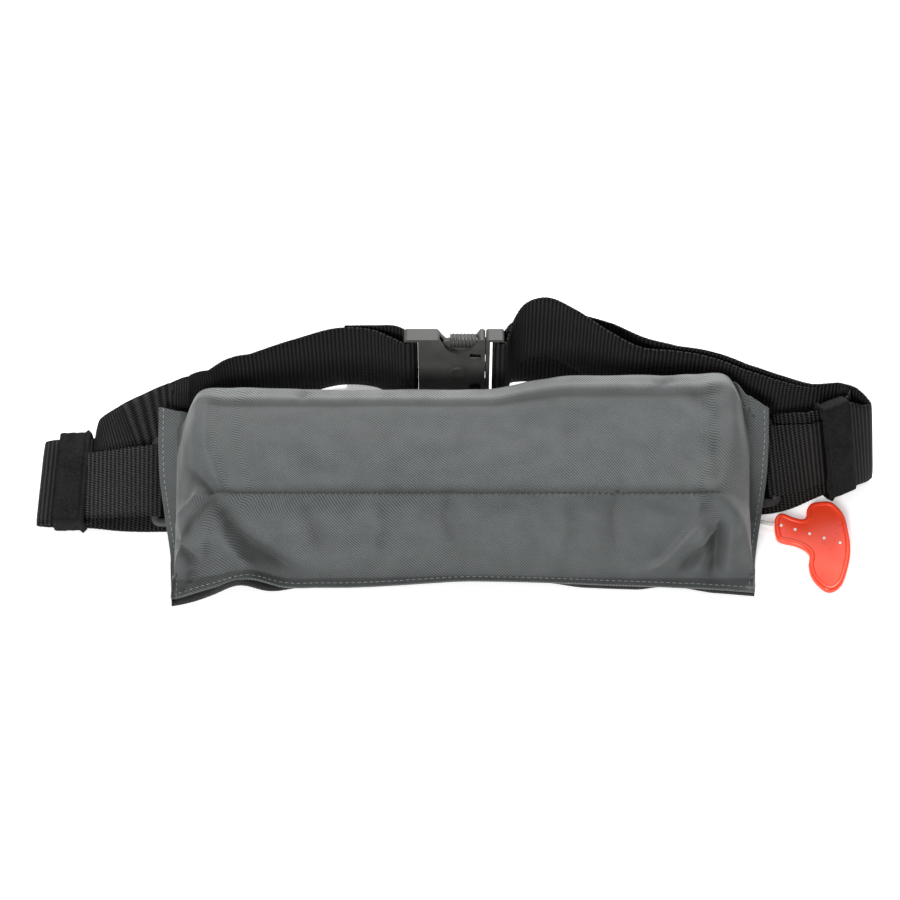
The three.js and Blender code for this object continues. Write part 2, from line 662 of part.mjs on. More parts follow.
function plugHalf() {
  const mouth = buckleLength / 2 - buckleWall + gap;
  const wall = mouth + buckleWall;
  const barStart = wall + slotLength;
  const end = barStart + barThickness;
  const outline = rectangle(new THREE.Shape(), mouth, -buckleHalfWidth, end, buckleHalfWidth, 1.6);
  let solid = plate(outline, buckleThickness);
  solid = solid.subtract(block(wall, barStart, -slotHalfWidth, slotHalfWidth, buckleThickness));
  solid = thinBar(solid, barStart - 0.5, end + 1);
  const arm = new THREE.Shape();
  const [armLow, armHigh, crest, tip, tipLow, hollow, root] = [
    0.43, 0.857, 0.91, 0.82, 0.607, 0.68, 0.464,
  ].map((share) => share * buckleHalfWidth);
  arm.moveTo(mouth + 0.5, armLow);
  arm.lineTo(mouth + 0.5, armHigh);
  arm.quadraticCurveTo(3, crest, -1.5, tip);
  arm.lineTo(-3, tipLow);
  arm.quadraticCurveTo(4, hollow, 8, root);
  arm.closePath();
  const armSolid = plate(arm, armHalfThickness * 2);
  const guide = block(-2, mouth + 0.5, -3, 3, armHalfThickness);
  return solid.add(armSolid).add(armSolid.mirror([0, 1, 0])).add(guide);
}

function placeBuckle(name, solid) {
  const mesh = addPiece(name, toGeometry(solid), blackPlastic);
  mesh.rotation.x = Math.PI / 2;
  mesh.position.set(buckleMiddle.x, buckleMiddle.y, buckleMiddle.z);
}
placeBuckle("buckle_socket", socketHalf());
placeBuckle("buckle_plug", plugHalf());

// Pull tab, flat on the ground: a stem in line with the cord and a curved crossbar for the fingers
const tabReach = 42;
const tabSpan = 52;
const tabPlace = { x: 156.6, y: -14.15, angle: -19.6 };
const tabOutline = [
  // along the stem as shares of the reach, across it as shares of the span
  [0, 0.02], [0.01, 0.11], [0.08, 0.14], [0.2, 0.13], [0.31, 0.14], [0.34, 0.19], [0.32, 0.26],
  [0.35, 0.34], [0.44, 0.39], [0.56, 0.42], [0.66, 0.39], [0.77, 0.31], [0.87, 0.15], [0.94, 0.01],
  [0.98, -0.14], [0.99, -0.3], [0.98, -0.43], [0.92, -0.52], [0.83, -0.55], [0.71, -0.51], [0.61, -0.44],
  [0.54, -0.33], [0.52, -0.23], [0.45, -0.18], [0.31, -0.16], [0.17, -0.17], [0.08, -0.14],
];

function pullTab() {
  const points = tabOutline.map(([along, across]) => (
    new THREE.Vector3(along * tabReach, across * tabSpan, 0)
  ));
  const edge = new THREE.CatmullRomCurve3(points, true).getPoints(tabOutline.length * 2);
  const shape = new THREE.Shape(edge.map((point) => new THREE.Vector2(point.x, point.y)));
  const geometry = new THREE.ExtrudeGeometry(shape, { depth: tabThickness, bevelEnabled: false });
  const bore = new THREE.CylinderGeometry(boreRadius, boreRadius, 2 * boreDepth, 12);
  bore.rotateZ(Math.PI / 2);
  bore.translate(0, 0, tabThickness / 2);
  return toGeometry(toSolid(geometry).subtract(toSolid(bore)));
}
const boreRadius = cordDiameter / 2 + gap;
const boreDepth = 13;
const tab = addPiece("pull_tab", pullTab(), redPlastic);
tab.rotation.z = THREE.MathUtils.degToRad(tabPlace.angle);
tab.position.set(tabPlace.x, tabPlace.y, gap);

// Pull cord: from the bladder through the notch in the back panel, out below the flange, into the tab
const cordRoute = [
  [121, -9.5, 13.5],
  [127, -10, 12.5],
  [133, -10.5, 9],
  [139, -11, 4.6],
  [145, -11.6, 2],
  [151, -12.6, 1.9],
  [157, -14.3, 2.15],
  [162, -16.1, 2.15],
  [166, -17.5, 2.15],
].map(([x, y, z]) => new THREE.Vector3(x, y, z));
const cordSection = new THREE.Shape();
cordSection.absarc(0, 0, cordDiameter / 2, 0, Math.PI * 2, false);
addPiece("pull_cord", new THREE.ExtrudeGeometry(cordSection, {
  steps: 14,
  bevelEnabled: false,
  curveSegments: 8,
  extrudePath: new THREE.CatmullRomCurve3(cordRoute),
}), whiteCord);

export default group;
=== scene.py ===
import math
import bpy
import bmesh
from mathutils import Matrix, Vector, noise


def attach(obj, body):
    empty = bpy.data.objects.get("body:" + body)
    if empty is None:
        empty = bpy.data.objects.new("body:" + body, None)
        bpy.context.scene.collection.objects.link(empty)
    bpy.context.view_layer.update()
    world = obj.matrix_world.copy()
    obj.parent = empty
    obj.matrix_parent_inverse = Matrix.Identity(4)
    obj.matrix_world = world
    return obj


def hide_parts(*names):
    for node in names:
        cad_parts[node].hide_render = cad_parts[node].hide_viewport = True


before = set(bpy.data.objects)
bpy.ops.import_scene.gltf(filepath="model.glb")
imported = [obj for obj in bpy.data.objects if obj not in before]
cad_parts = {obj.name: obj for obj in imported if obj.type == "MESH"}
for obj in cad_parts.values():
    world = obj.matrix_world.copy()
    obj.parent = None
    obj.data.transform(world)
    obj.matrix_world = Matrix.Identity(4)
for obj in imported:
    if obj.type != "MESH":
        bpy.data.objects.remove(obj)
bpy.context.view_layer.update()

mm = 0.001

# Camera: the pack lies on a table and is seen from above its front edge, almost square to the pouch.
view_target = Vector((-6.5, 32.0, 0.0)) * mm
view_elevation = math.radians(57)
view_distance = 1250 * mm
camera_data = bpy.data.cameras.new("camera")
camera_data.lens = 97.1
camera_data.sensor_width = 36
camera = bpy.data.objects.new("camera", camera_data)
bpy.context.collection.objects.link(camera)
view_side = Vector((0, -math.cos(view_elevation), math.sin(view_elevation)))
camera.location = view_target + view_distance * view_side
camera.rotation_euler = (math.pi / 2 - view_elevation, 0, 0)
bpy.context.scene.camera = camera


# Pull cord: a white braided cord 2.2 mm thick. It starts at the folded bladder, comes out below the right
# edge of the pouch and goes into the stem of the tab.
def make_material(name, roughness):
    material = bpy.data.materials.new(name)
    material.use_nodes = True
    shader = material.node_tree.nodes["Principled BSDF"]
    shader.inputs["Roughness"].default_value = roughness
    return material, material.node_tree.nodes, material.node_tree.links, shader


def colour_ramp(nodes, low, high, start=0.3, end=0.7):
    ramp = nodes.new("ShaderNodeValToRGB")
    ramp.color_ramp.elements[0].position = start
    ramp.color_ramp.elements[1].position = end
    ramp.color_ramp.elements[0].color = (*low, 1)
    ramp.color_ramp.elements[1].color = (*high, 1)
    return ramp


def paint(links, value, ramp, shader):
    """The ramp turns the value into the colour of the surface."""
    links.new(value, ramp.inputs["Fac"])
    links.new(ramp.outputs["Color"], shader.inputs["Base Color"])


def noise_texture(nodes, links, scale, vector=None, detail=2):
    node = nodes.new("ShaderNodeTexNoise")
    node.inputs["Scale"].default_value = scale
    node.inputs["Detail"].default_value = detail
    if vector:
        links.new(vector, node.inputs["Vector"])
    return node


def bump(nodes, links, shader, height, strength, distance):
    node = nodes.new("ShaderNodeBump")
    node.inputs["Strength"].default_value = strength
    node.inputs["Distance"].default_value = distance
    links.new(height, node.inputs["Height"])
    links.new(node.outputs["Normal"], shader.inputs["Normal"])
    return node


def braid_material():
    material, nodes, links, shader = make_material("white_braid", 0.55)
    coordinates = nodes.new("ShaderNodeTexCoord")
    wave = nodes.new("ShaderNodeTexWave")
    wave.wave_type = "BANDS"
    wave.bands_direction = "DIAGONAL"
    wave.inputs["Scale"].default_value = 420
    wave.inputs["Distortion"].default_value = 0.6
    links.new(coordinates.outputs["Object"], wave.inputs["Vector"])
    ramp = colour_ramp(nodes, (0.62, 0.62, 0.6), (0.9, 0.9, 0.88))
    paint(links, wave.outputs["Fac"], ramp, shader)
    bump(nodes, links, shader, wave.outputs["Fac"], 0.5, 0.0004)
    return material


cord_diameter = 2.2 * mm
cord_route = [
    (121, -9.5, 13.5),
    (127, -10, 12.5),
    (133, -10.5, 9),
    (139, -11, 4.6),
    (145, -11.6, 2),
    (151, -12.6, 1.9),
    (157, -14.3, 2.15),
    (162, -16.1, 2.15),
    (166, -17.5, 2.15),
]
cord_curve = bpy.data.curves.new("pull_cord_braid", "CURVE")
cord_curve.dimensions = "3D"
cord_curve.bevel_depth = cord_diameter / 2
cord_curve.bevel_resolution = 4
cord_curve.use_fill_caps = True
cord_line = cord_curve.splines.new("POLY")
cord_line.points.add(len(cord_route) - 1)
for cord_point, place in zip(cord_line.points, cord_route):
    cord_point.co = (*(Vector(place) * mm), 1)
cord_curve.materials.append(braid_material())
pull_cord = bpy.data.objects.new("pull_cord_braid", cord_curve)
bpy.context.collection.objects.link(pull_cord)
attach(pull_cord, "root")
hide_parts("pull_cord")


# Table and light: a plain white table top in soft white light from behind and in front. The table gives off
# a little light of its own, so that it is as white as a cut-out background.
def stage_material():
    material, nodes, links, shader = make_material("table_top", 0.9)
    grain = noise_texture(nodes, links, 3)
    ramp = colour_ramp(nodes, (0.93, 0.93, 0.93), (0.96, 0.96, 0.96))
    paint(links, grain.outputs["Fac"], ramp, shader)
    links.new(ramp.outputs["Color"], shader.inputs["Emission Color"])
    shader.inputs["Emission Strength"].default_value = 0.4
    return material


floor_size = 6
bpy.ops.mesh.primitive_plane_add(size=floor_size, location=(0, 0, 0))
floor = bpy.context.object
floor.name = "table_top"
floor.data.materials.append(stage_material())

world = bpy.data.worlds.new("studio")
world.use_nodes = True
world.node_tree.nodes["Background"].inputs["Color"].default_value = (1, 1, 1, 1)
world.node_tree.nodes["Background"].inputs["Strength"].default_value = 0.32
bpy.context.scene.world = world


def soft_light(name, place, aim, size, power):
    data = bpy.data.lights.new(name, "AREA")
    data.size = size
    data.energy = power
    light = bpy.data.objects.new(name, data)
    bpy.context.collection.objects.link(light)
    light.location = place
    light.rotation_euler = (Vector(aim) - Vector(place)).to_track_quat("-Z", "Y").to_euler()
    return light


soft_light("back_light", (0.3, 1.5, 1.15), (0, 0.03, 0), 0.9, 54)
soft_light("front_light", (-0.7, -1.6, 1.2), (0, 0, 0), 0.8, 40)
bpy.context.scene.view_settings.view_transform = "Standard"


# Waist belt: two runs of black 50 mm webbing, woven with fine ribs across its width. The left one is sewn
# to the socket half of the buckle, is folded in its keeper and ends below the pouch. The right one turns
# round the bar of the plug half and comes back as a long tail.
webbing_width = 50
webbing_thickness = 1.8
left_reach = 216
right_reach = 208
rear_reach = 80
pouch_half_length = 157
socket_bar = -28.2
plug_bar = 19.25
rib_pitch = 2.1
rib_height = 0.16
float_pitch = 1.3
selvedge_thinning = 0.45
selvedge_sharpness = 10
mm_per_cm = 10

# Places of the low edge as shares: along (see place_along), back of rear_reach, up of the webbing's width;
# then the lean of the width and its turn, in degrees
left_belt_stations = [
    (0.2473, 0.932, 0, 90, 0),
    (0.1299, 0.925, 0.02, 90, 0),
    (0.0443, 0.893, 0.08, 90, 0),
    (-0.0043, 0.839, 0.1, 90, 0),
    (-0.0361, 0.794, 0.1, 90, 0),
    (-0.0043, 0.749, 0.1, 90, 0),
    (0.0661, 0.82, 0.05, 90, 0),
    (0.1383, 0.885, 0.03, 90, 0),
    (0.2707, 0.9, 0.03, 90, 0),
    (0.4418, 0.825, 0, 90, 0),
    (0.6112, 0.713, 0, 90, 0),
    (0.685, 0.662, 0, 88, 0),
    (0.7789, 0.5, 0.01, 82, -8),
    (0.8829, 0.3, 0.04, 64, -12),
    (0.9265, 0.144, 0.068, 44, 0),
    (0.9566, 0.062, 0.08, 27, 15),
    (0.9885, 0.037, 0.08, 17, 24),
    (1.2898, -0.075, 0.08, 10, 14),
    (1.5167, -0.2, 0.092, 3, 1),
    (1.6522, -0.202, 0.088, 2, 0),
    (1.8828, -0.2, 0.086, 1, 0),
    (1.9671, -0.2, 0.064, 0, 0),
    (1.8828, -0.2, 0.04, 0, 0),
    (1.6595, -0.206, 0.044, 0, 0),
    (1.5167, -0.21, 0.044, 0, 0),
    (1.2202, -0.219, 0.006, 0, 0),
    (0.9449, -0.219, 0, 0, 0),
    (0.5575, -0.188, 0, 0, 0),
    (0.2624, -0.169, 0, 0, 0),
]
right_belt_stations = [
    (-0.5822, -0.168, 0, 0, 0),
    (-0.1397, -0.15, 0, 0, 0),
    (0.5141, -0.113, 0, 0, 0),
    (0.7164, -0.106, 0, 0, 0),
    (0.8765, -0.1, 0, 15, 2),
    (0.9927, -0.087, 0, 31, 5),
    (1.1762, -0.056, 0.02, 46.4, 13),
    (1.4127, 0.004, 0.07, 62, 19),
    (1.6289, 0.0625, 0.085, 63, 20),
    (1.7838, 0.13, 0.08, 65, 21),
    (1.7961, 0.207, 0.06, 67, 14),
    (1.6125, 0.266, 0.05, 68, 5),
    (1.3352, 0.297, 0.04, 76, 0),
    (1.0212, 0.419, 0.012, 82, 0),
    (0.884, 0.569, 0, 88, 0),
    (0.7602, 0.688, 0, 90, 0),
    (0.6364, 0.735, 0, 90, 0),
    (0.5111, 0.745, 0.04, 90, 0),
    (0.3933, 0.815, 0.16, 90, 0),
    (0.271, 0.9, 0.34, 90, 0),
    (0.1653, 0.94, 0.46, 90, 0),
    (0.0898, 0.915, 0.42, 90, 0),
    (0.0445, 0.85, 0.26, 90, 0),
    (0.0113, 0.746, 0.1, 90, 0),
    (-0.0144, 0.759, 0.1, 90, 0),
    (-0.025, 0.794, 0.1, 90, 0),
    (-0.0144, 0.829, 0.1, 90, 0),
    (0.0113, 0.842, 0.1, 90, 0),
    (0.0384, 0.9, 0.06, 88, 0),
    (0.0898, 0.93, 0.02, 84, 0),
    (0.1653, 0.935, 0, 80, 0),
    (0.283, 0.92, 0, 80, 0),
    (0.4114, 0.865, 0, 82, 0),
    (0.5277, 0.795, 0, 86, 0),
    (0.6454, 0.773, 0, 90, 0),
    (0.7753, 0.726, 0, 90, 0),
    (0.9021, 0.606, 0, 88, 0),
    (1.0579, 0.466, 0.012, 83, 0),
    (1.3352, 0.362, 0.04, 80, 0),
    (1.6289, 0.32, 0.04, 74, 6),
    (1.845, 0.278, 0.04, 73, 16),
    (1.9796, 0.217, 0.04, 75, 26),
    (2.0122, 0.18, 0.04, 74, 28),
    (1.9511, 0.14, 0.05, 71, 26),
    (1.8573, 0.1, 0.09, 65, 22),
    (1.6941, 0.04, 0.11, 63, 20),
]


def place_along(along, bar, reach):
    """Counts from 0 at the bar of the buckle to 1 at the end of the pouch and 2 at the end of the belt."""
    pouch_end = math.copysign(pouch_half_length, reach)
    if along <= 1:
        return bar + (pouch_end - bar) * along
    return pouch_end + (reach - pouch_end) * (along - 1)


def stations_from(rows, bar, reach):
    """Each station is the low edge of the webbing, the lean of its width and its turn, in mm and radians."""
    return [
        (
            Vector((place_along(along, bar, reach), back * rear_reach, up * webbing_width)),
            math.radians(lean),
            math.radians(turn),
        )
        for along, back, up, lean, turn in rows
    ]


def width_direction(lean, turn):
    return Vector((-math.cos(lean) * math.sin(turn), math.cos(lean) * math.cos(turn), math.sin(lean)))


def spline_point(points, place):
    """A point and tangent on the smooth curve through the points; place counts from 0 to len - 1."""
    last = len(points) - 1
    index = min(last - 1, int(place))
    share = place - index
    before = points[index - 1] if index > 0 else 2 * points[0] - points[1]
    after = points[index + 2] if index + 2 <= last else 2 * points[last] - points[last - 1]
    a, b = points[index], points[index + 1]
    step = math.sqrt((b - a).length) or 1
    step_before = math.sqrt((a - before).length) or step
    step_after = math.sqrt((after - b).length) or step
    pull_a = (a - before) / step_before - (b - before) / (step_before + step) + (b - a) / step
    pull_b = (b - a) / step - (after - a) / (step + step_after) + (after - b) / step_after
    pull_a, pull_b = pull_a * step, pull_b * step
    c2 = -3 * a + 3 * b - 2 * pull_a - pull_b
    c3 = 2 * a - 2 * b + pull_a + pull_b
    point = a + pull_a * share + c2 * share**2 + c3 * share**3
    tangent = pull_a + 2 * c2 * share + 3 * c3 * share**2
    return point, tangent.normalized()


def blend_value(values, place):
    index = min(len(values) - 2, int(place))
    share = place - index
    return values[index] * (1 - share) + values[index + 1] * share


def strip_frames(stations, step):
    """Evenly spaced frames along a strap: low edge, width direction, normal and distance from its start."""
    points = [s[0] for s in stations]
    leans = [s[1] for s in stations]
    turns = [s[2] for s in stations]
    dense = 24
    places = [number / dense for number in range(dense * (len(points) - 1) + 1)]
    line = [spline_point(points, p)[0] for p in places]
    lengths = [0.0]
    for a, b in zip(line, line[1:]):
        lengths.append(lengths[-1] + (b - a).length)
    count = max(2, round(lengths[-1] / step))
    frames = []
    at = 0
    for number in range(count + 1):
        wanted = lengths[-1] * number / count
        while at < len(lengths) - 2 and lengths[at + 1] < wanted:
            at += 1
        share = (wanted - lengths[at]) / max(1e-9, lengths[at + 1] - lengths[at])
        place = places[at] + share * (places[at + 1] - places[at])
        low, tangent = spline_point(points, place)
        across = width_direction(blend_value(leans, place), blend_value(turns, place))
        frames.append((low, across, tangent.cross(across).normalized(), wanted))
    return frames


def mesh_object(name, vertices, faces, uvs=None, material=None):
    """A smooth mesh from points in mm."""
    mesh = bpy.data.meshes.new(name)
    mesh.from_pydata([v * mm for v in vertices], [], faces)
    if uvs:
        layer = mesh.uv_layers.new(name="cloth")
        for loop in mesh.loops:
            layer.data[loop.index].uv = uvs[loop.vertex_index]
    mesh.update()
    mesh.polygons.foreach_set("use_smooth", [True] * len(mesh.polygons))
    if material:
        mesh.materials.append(material)
    item = bpy.data.objects.new(name, mesh)
    bpy.context.collection.objects.link(item)
    return item


def webbing_piece(name, frames, width, thickness, on_ground, material):
    """A woven strap with real ribs across it, thinner at its selvedges."""
    across_count = 14
    vertices, faces, uvs = [], [], []
    ring = 2 * (across_count + 1)
    for low, across, normal, along in frames:
        low = low.copy()
        if on_ground:
            low.z = max(0, low.z) + thickness / 2 * abs(normal.z)
        rib = rib_height * math.cos(2 * math.pi * along / rib_pitch)
        for side in (1, -1):
            for number in range(across_count + 1):
                share = number / across_count if side > 0 else 1 - number / across_count
                edge = abs(2 * share - 1) ** selvedge_sharpness
                half = (thickness / 2 - rib_height + rib) * (1 - selvedge_thinning * edge)
                spread = share * (width + rib / 2) - rib / 4
                vertices.append(low + across * spread + normal * (side * half))
                uvs.append((along / mm_per_cm, share * width / mm_per_cm))
    rows = len(frames)
    for row in range(rows - 1):
        for k in range(ring):
            a, b = row * ring + k, row * ring + (k + 1) % ring
            faces.append((a, b, b + ring, a + ring))
    faces.append(tuple(range(ring - 1, -1, -1)))
    faces.append(tuple((rows - 1) * ring + k for k in range(ring)))
    return mesh_object(name, vertices, faces, uvs, material)


def math_node(nodes, links, operation, *values):
    node = nodes.new("ShaderNodeMath")
    node.operation = operation
    for number, value in enumerate(values):
        if isinstance(value, (int, float)):
            node.inputs[number].default_value = value
        else:
            links.new(value, node.inputs[number])
    return node.outputs[0]


def webbing_material():
    """Ribs run across the strap, each made of short raised floats of yarn."""
    material, nodes, links, shader = make_material("black_webbing", 0.6)
    uv = nodes.new("ShaderNodeUVMap")
    uv.uv_map = "cloth"
    parts = nodes.new("ShaderNodeSeparateXYZ")
    links.new(uv.outputs["UV"], parts.inputs[0])
    rib_turns = 2 * math.pi * mm_per_cm / rib_pitch
    float_turns = 2 * math.pi * mm_per_cm / float_pitch
    rib_angle = math_node(nodes, links, "MULTIPLY", parts.outputs[0], rib_turns)
    rib = math_node(nodes, links, "COSINE", rib_angle)
    half_step = math_node(nodes, links, "MULTIPLY", parts.outputs[0], rib_turns / 2)
    row = math_node(nodes, links, "MULTIPLY", parts.outputs[1], float_turns)
    yarn = math_node(nodes, links, "SINE", math_node(nodes, links, "ADD", row, half_step))
    weave = math_node(nodes, links, "ADD", rib, math_node(nodes, links, "MULTIPLY", yarn, 0.7))
    fuzz = noise_texture(nodes, links, 16, uv.outputs["UV"], detail=6)
    loose_fibre = math_node(nodes, links, "MULTIPLY", fuzz.outputs["Fac"], 1.4)
    mixed = math_node(nodes, links, "ADD", weave, loose_fibre)
    ramp = colour_ramp(nodes, (0.002, 0.002, 0.002), (0.046, 0.046, 0.045), 0.15, 0.85)
    level = math_node(nodes, links, "MULTIPLY_ADD", mixed, 0.28, 0.25)
    paint(links, level, ramp, shader)
    shader.inputs["Specular IOR Level"].default_value = 0.12
    bump(nodes, links, shader, mixed, 0.9, 0.0006)
    return material


black_webbing = webbing_material()
webbing_step = 0.7
left_frames = strip_frames(stations_from(left_belt_stations, socket_bar, -left_reach), webbing_step)
left_belt = webbing_piece("left_belt_webbing", left_frames, webbing_width, webbing_thickness, True,
                          black_webbing)
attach(left_belt, "root")
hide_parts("left_belt")
right_frames = strip_frames(stations_from(right_belt_stations, plug_bar, right_reach), webbing_step)
right_belt = webbing_piece("right_belt_webbing", right_frames, webbing_width, webbing_thickness, True,
                           black_webbing)
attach(right_belt, "root")
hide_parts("right_belt")


# Front straps: short straps of thinner 36 mm webbing. Each leaves its keeper, lies on the belt and turns
# round the bar of its ring below the edge of the pouch.
front_width = 36
front_thickness = 1.4
ring_bar = 4.5
ring_thickness = 2.6
ring_depth = 14
clear = 0.35
front_step = 0.6
wrap_radius = ring_thickness / 2 + clear + front_thickness / 2


def frame_at(stations, place):
    """The frame of a strap at a place between its stations, with its normal upward."""
    low, tangent = spline_point([s[0] for s in stations], place)
    lean = blend_value([s[1] for s in stations], place)
    turn = blend_value([s[2] for s in stations], place)
    across = width_direction(lean, turn)
    normal = tangent.cross(across).normalized()
    if normal.z < 0:
        normal.negate()
    return low, across, normal, tangent, lean, turn


def wrapped_stations(stations):
    """Adds the turn round the bar of the ring, and gives the place of that bar."""
    low, across, normal, tangent, lean, turn = frame_at(stations, len(stations) - 1)
    way = (tangent - across * tangent.dot(across)).normalized()
    bar = low + way * (ring_bar / 2) - normal * wrap_radius
    far = ring_bar / 2 + 2 * clear
    # how far along past the bar, and how high over it as a share of the turn's radius
    wrap = [(0, 1), (far, 0.8), (far + front_thickness / 2, 0)]
    ends = [(bar + way * along + normal * (over * wrap_radius), lean, turn) for along, over in wrap]
    return stations + ends, (bar, way, across)


# along, back, up, lean, turn, as for the belts
left_front = stations_from([
    (1.7108, -0.178, 0.16, 5, 0),
    (1.5424, -0.175, 0.162, 8, 2),
    (1.3227, -0.169, 0.16, 13, 2),
    (1.1543, -0.1625, 0.16, 18, 2),
    (1.0005, -0.16, 0.16, 25, 0),
], socket_bar, -left_reach)
right_stations = stations_from(right_belt_stations, plug_bar, right_reach)
in_keeper = 8
layer_step = webbing_thickness / 2 + front_thickness / 2 + 3 * clear
ring_step = webbing_thickness / 2 + 3.5 * clear + ring_thickness / 2 + wrap_radius
front_inset = 9
# The right strap lies on the belt in its keeper and rises off it towards the ring: place, share of the rise
right_front_lift = [(in_keeper - 0.5, 0), (in_keeper - 1, 0.1), (in_keeper - 2, 0.6), (in_keeper - 2.5, 1)]
right_front = []
for front_place, front_share in right_front_lift:
    f_low, f_across, f_normal, _, f_lean, f_turn = frame_at(right_stations, front_place)
    f_low = f_low + Vector((0, 0, webbing_thickness / 2 * f_normal.z))
    f_step = layer_step * (1 - front_share) + ring_step * front_share
    right_front.append((f_low + f_across * front_inset + f_normal * f_step, f_lean, f_turn))
left_front, left_bar = wrapped_stations(left_front)
right_front, right_bar = wrapped_stations(right_front)
for front_name, front_stations in (("left_front_strap", left_front), ("right_front_strap", right_front)):
    front = webbing_piece(front_name + "_webbing", strip_frames(front_stations, front_step), front_width,
                          front_thickness, False, black_webbing)
    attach(front, "root")
    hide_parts(front_name)


# Rings: flat moulded rings of black plastic with rounded bars. The strap turns round one long bar of each,
# and the short end bar shows past the strap.
ring_corner = 2.6
ring_squareness = 0.6


def plastic_material(name, low, high, roughness):
    material, nodes, links, shader = make_material(name, roughness)
    coordinates = nodes.new("ShaderNodeTexCoord")
    grain = noise_texture(nodes, links, 900, coordinates.outputs["Object"], detail=4)
    wear = noise_texture(nodes, links, 90, coordinates.outputs["Object"])
    ramp = colour_ramp(nodes, low, high)
    paint(links, wear.outputs["Fac"], ramp, shader)
    rough = math_node(nodes, links, "MULTIPLY_ADD", wear.outputs["Fac"], 0.2, roughness - 0.1)
    links.new(rough, shader.inputs["Roughness"])
    bump(nodes, links, shader, grain.outputs["Fac"], 0.15, 0.0001)
    return material


black_plastic = plastic_material("black_plastic", (0.05, 0.05, 0.047), (0.07, 0.07, 0.066), 0.6)
ring_plastic = plastic_material("ring_plastic", (0.008, 0.008, 0.008), (0.02, 0.02, 0.02), 0.5)


def swept_ring(name, bar, way, across):
    """A rounded bar along a rectangle with rounded corners, closed on itself."""
    x0, x1 = -2 * clear - ring_bar / 2, front_width + 2 * clear + ring_bar / 2
    y0, y1 = 0, ring_depth - ring_bar
    radius = ring_corner
    corner_steps = 6
    path = []
    for cx, cy, start in ((x1 - radius, y0 + radius, -90), (x1 - radius, y1 - radius, 0),
                          (x0 + radius, y1 - radius, 90), (x0 + radius, y0 + radius, 180)):
        for number in range(corner_steps + 1):
            angle = math.radians(start + 90 * number / corner_steps)
            outward = (math.cos(angle), math.sin(angle))
            path.append((cx + radius * outward[0], cy + radius * outward[1], outward))
    up = across.cross(way)
    sides = 16
    vertices, faces = [], []
    for x, y, outward in path:
        for number in range(sides):
            angle = 2 * math.pi * number / sides
            cosine, sine = math.cos(angle), math.sin(angle)
            wide = ring_bar / 2 * math.copysign(abs(cosine) ** ring_squareness, cosine)
            high = ring_thickness / 2 * math.copysign(abs(sine) ** ring_squareness, sine)
            flat = across * (x + outward[0] * wide) + way * (y + outward[1] * wide)
            vertices.append(bar + flat + up * high)
    count = len(path)
    for row in range(count):
        for k in range(sides):
            a, b = row * sides + k, row * sides + (k + 1) % sides
            c, d = (row + 1) % count * sides + (k + 1) % sides, (row + 1) % count * sides + k
            faces.append((a, b, c, d))
    return mesh_object(name, vertices, faces, None, ring_plastic)


for ring_name, (ring_place, ring_way, ring_across) in (("left_ring", left_bar), ("right_ring", right_bar)):
    ring = swept_ring(ring_name + "_moulding", ring_place, ring_way, ring_across)
    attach(ring, "root")
    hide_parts(ring_name)


# Keepers: bands of smooth black cloth, folded double and sewn to a loop round the stack of straps. One sewn
# edge of each stands up as a thick ridge.
keeper_width = 16
keeper_wall = 1.0
keeper_corner = 1.6
keeper_point_step = 3
keeper_rows = 20
# Height in mm, then place and spread as shares of the half width: the ridge is placed from its own edge of
# the keeper, and the hem from the middle
keeper_ridge = (1.3, 0.22, 0.1)
keeper_hem = (0.35, 0.55, 0.1)
keeper_crumple = 0.25
keeper_rounding = 0.35
lowest_cloth = 0.05


def keeper_material():
    material, nodes, links, shader = make_material("keeper_cloth", 0.75)
    coordinates = nodes.new("ShaderNodeTexCoord")
    weave = noise_texture(nodes, links, 900, coordinates.outputs["Object"], detail=3)
    patches = noise_texture(nodes, links, 120, coordinates.outputs["Object"])
    total = math_node(nodes, links, "MULTIPLY_ADD", weave.outputs["Fac"], 0.6,
                      math_node(nodes, links, "MULTIPLY", patches.outputs["Fac"], 0.4))
    ramp = colour_ramp(nodes, (0.001, 0.001, 0.001), (0.011, 0.011, 0.011), 0.35, 0.65)
    paint(links, total, ramp, shader)
    shader.inputs["Specular IOR Level"].default_value = 0.12
    bump(nodes, links, shader, total, 0.8, 0.0005)
    return material


keeper_cloth = keeper_material()


def bell(value, height, place, spread):
    return height * math.exp(-((value - place) / spread) ** 2)


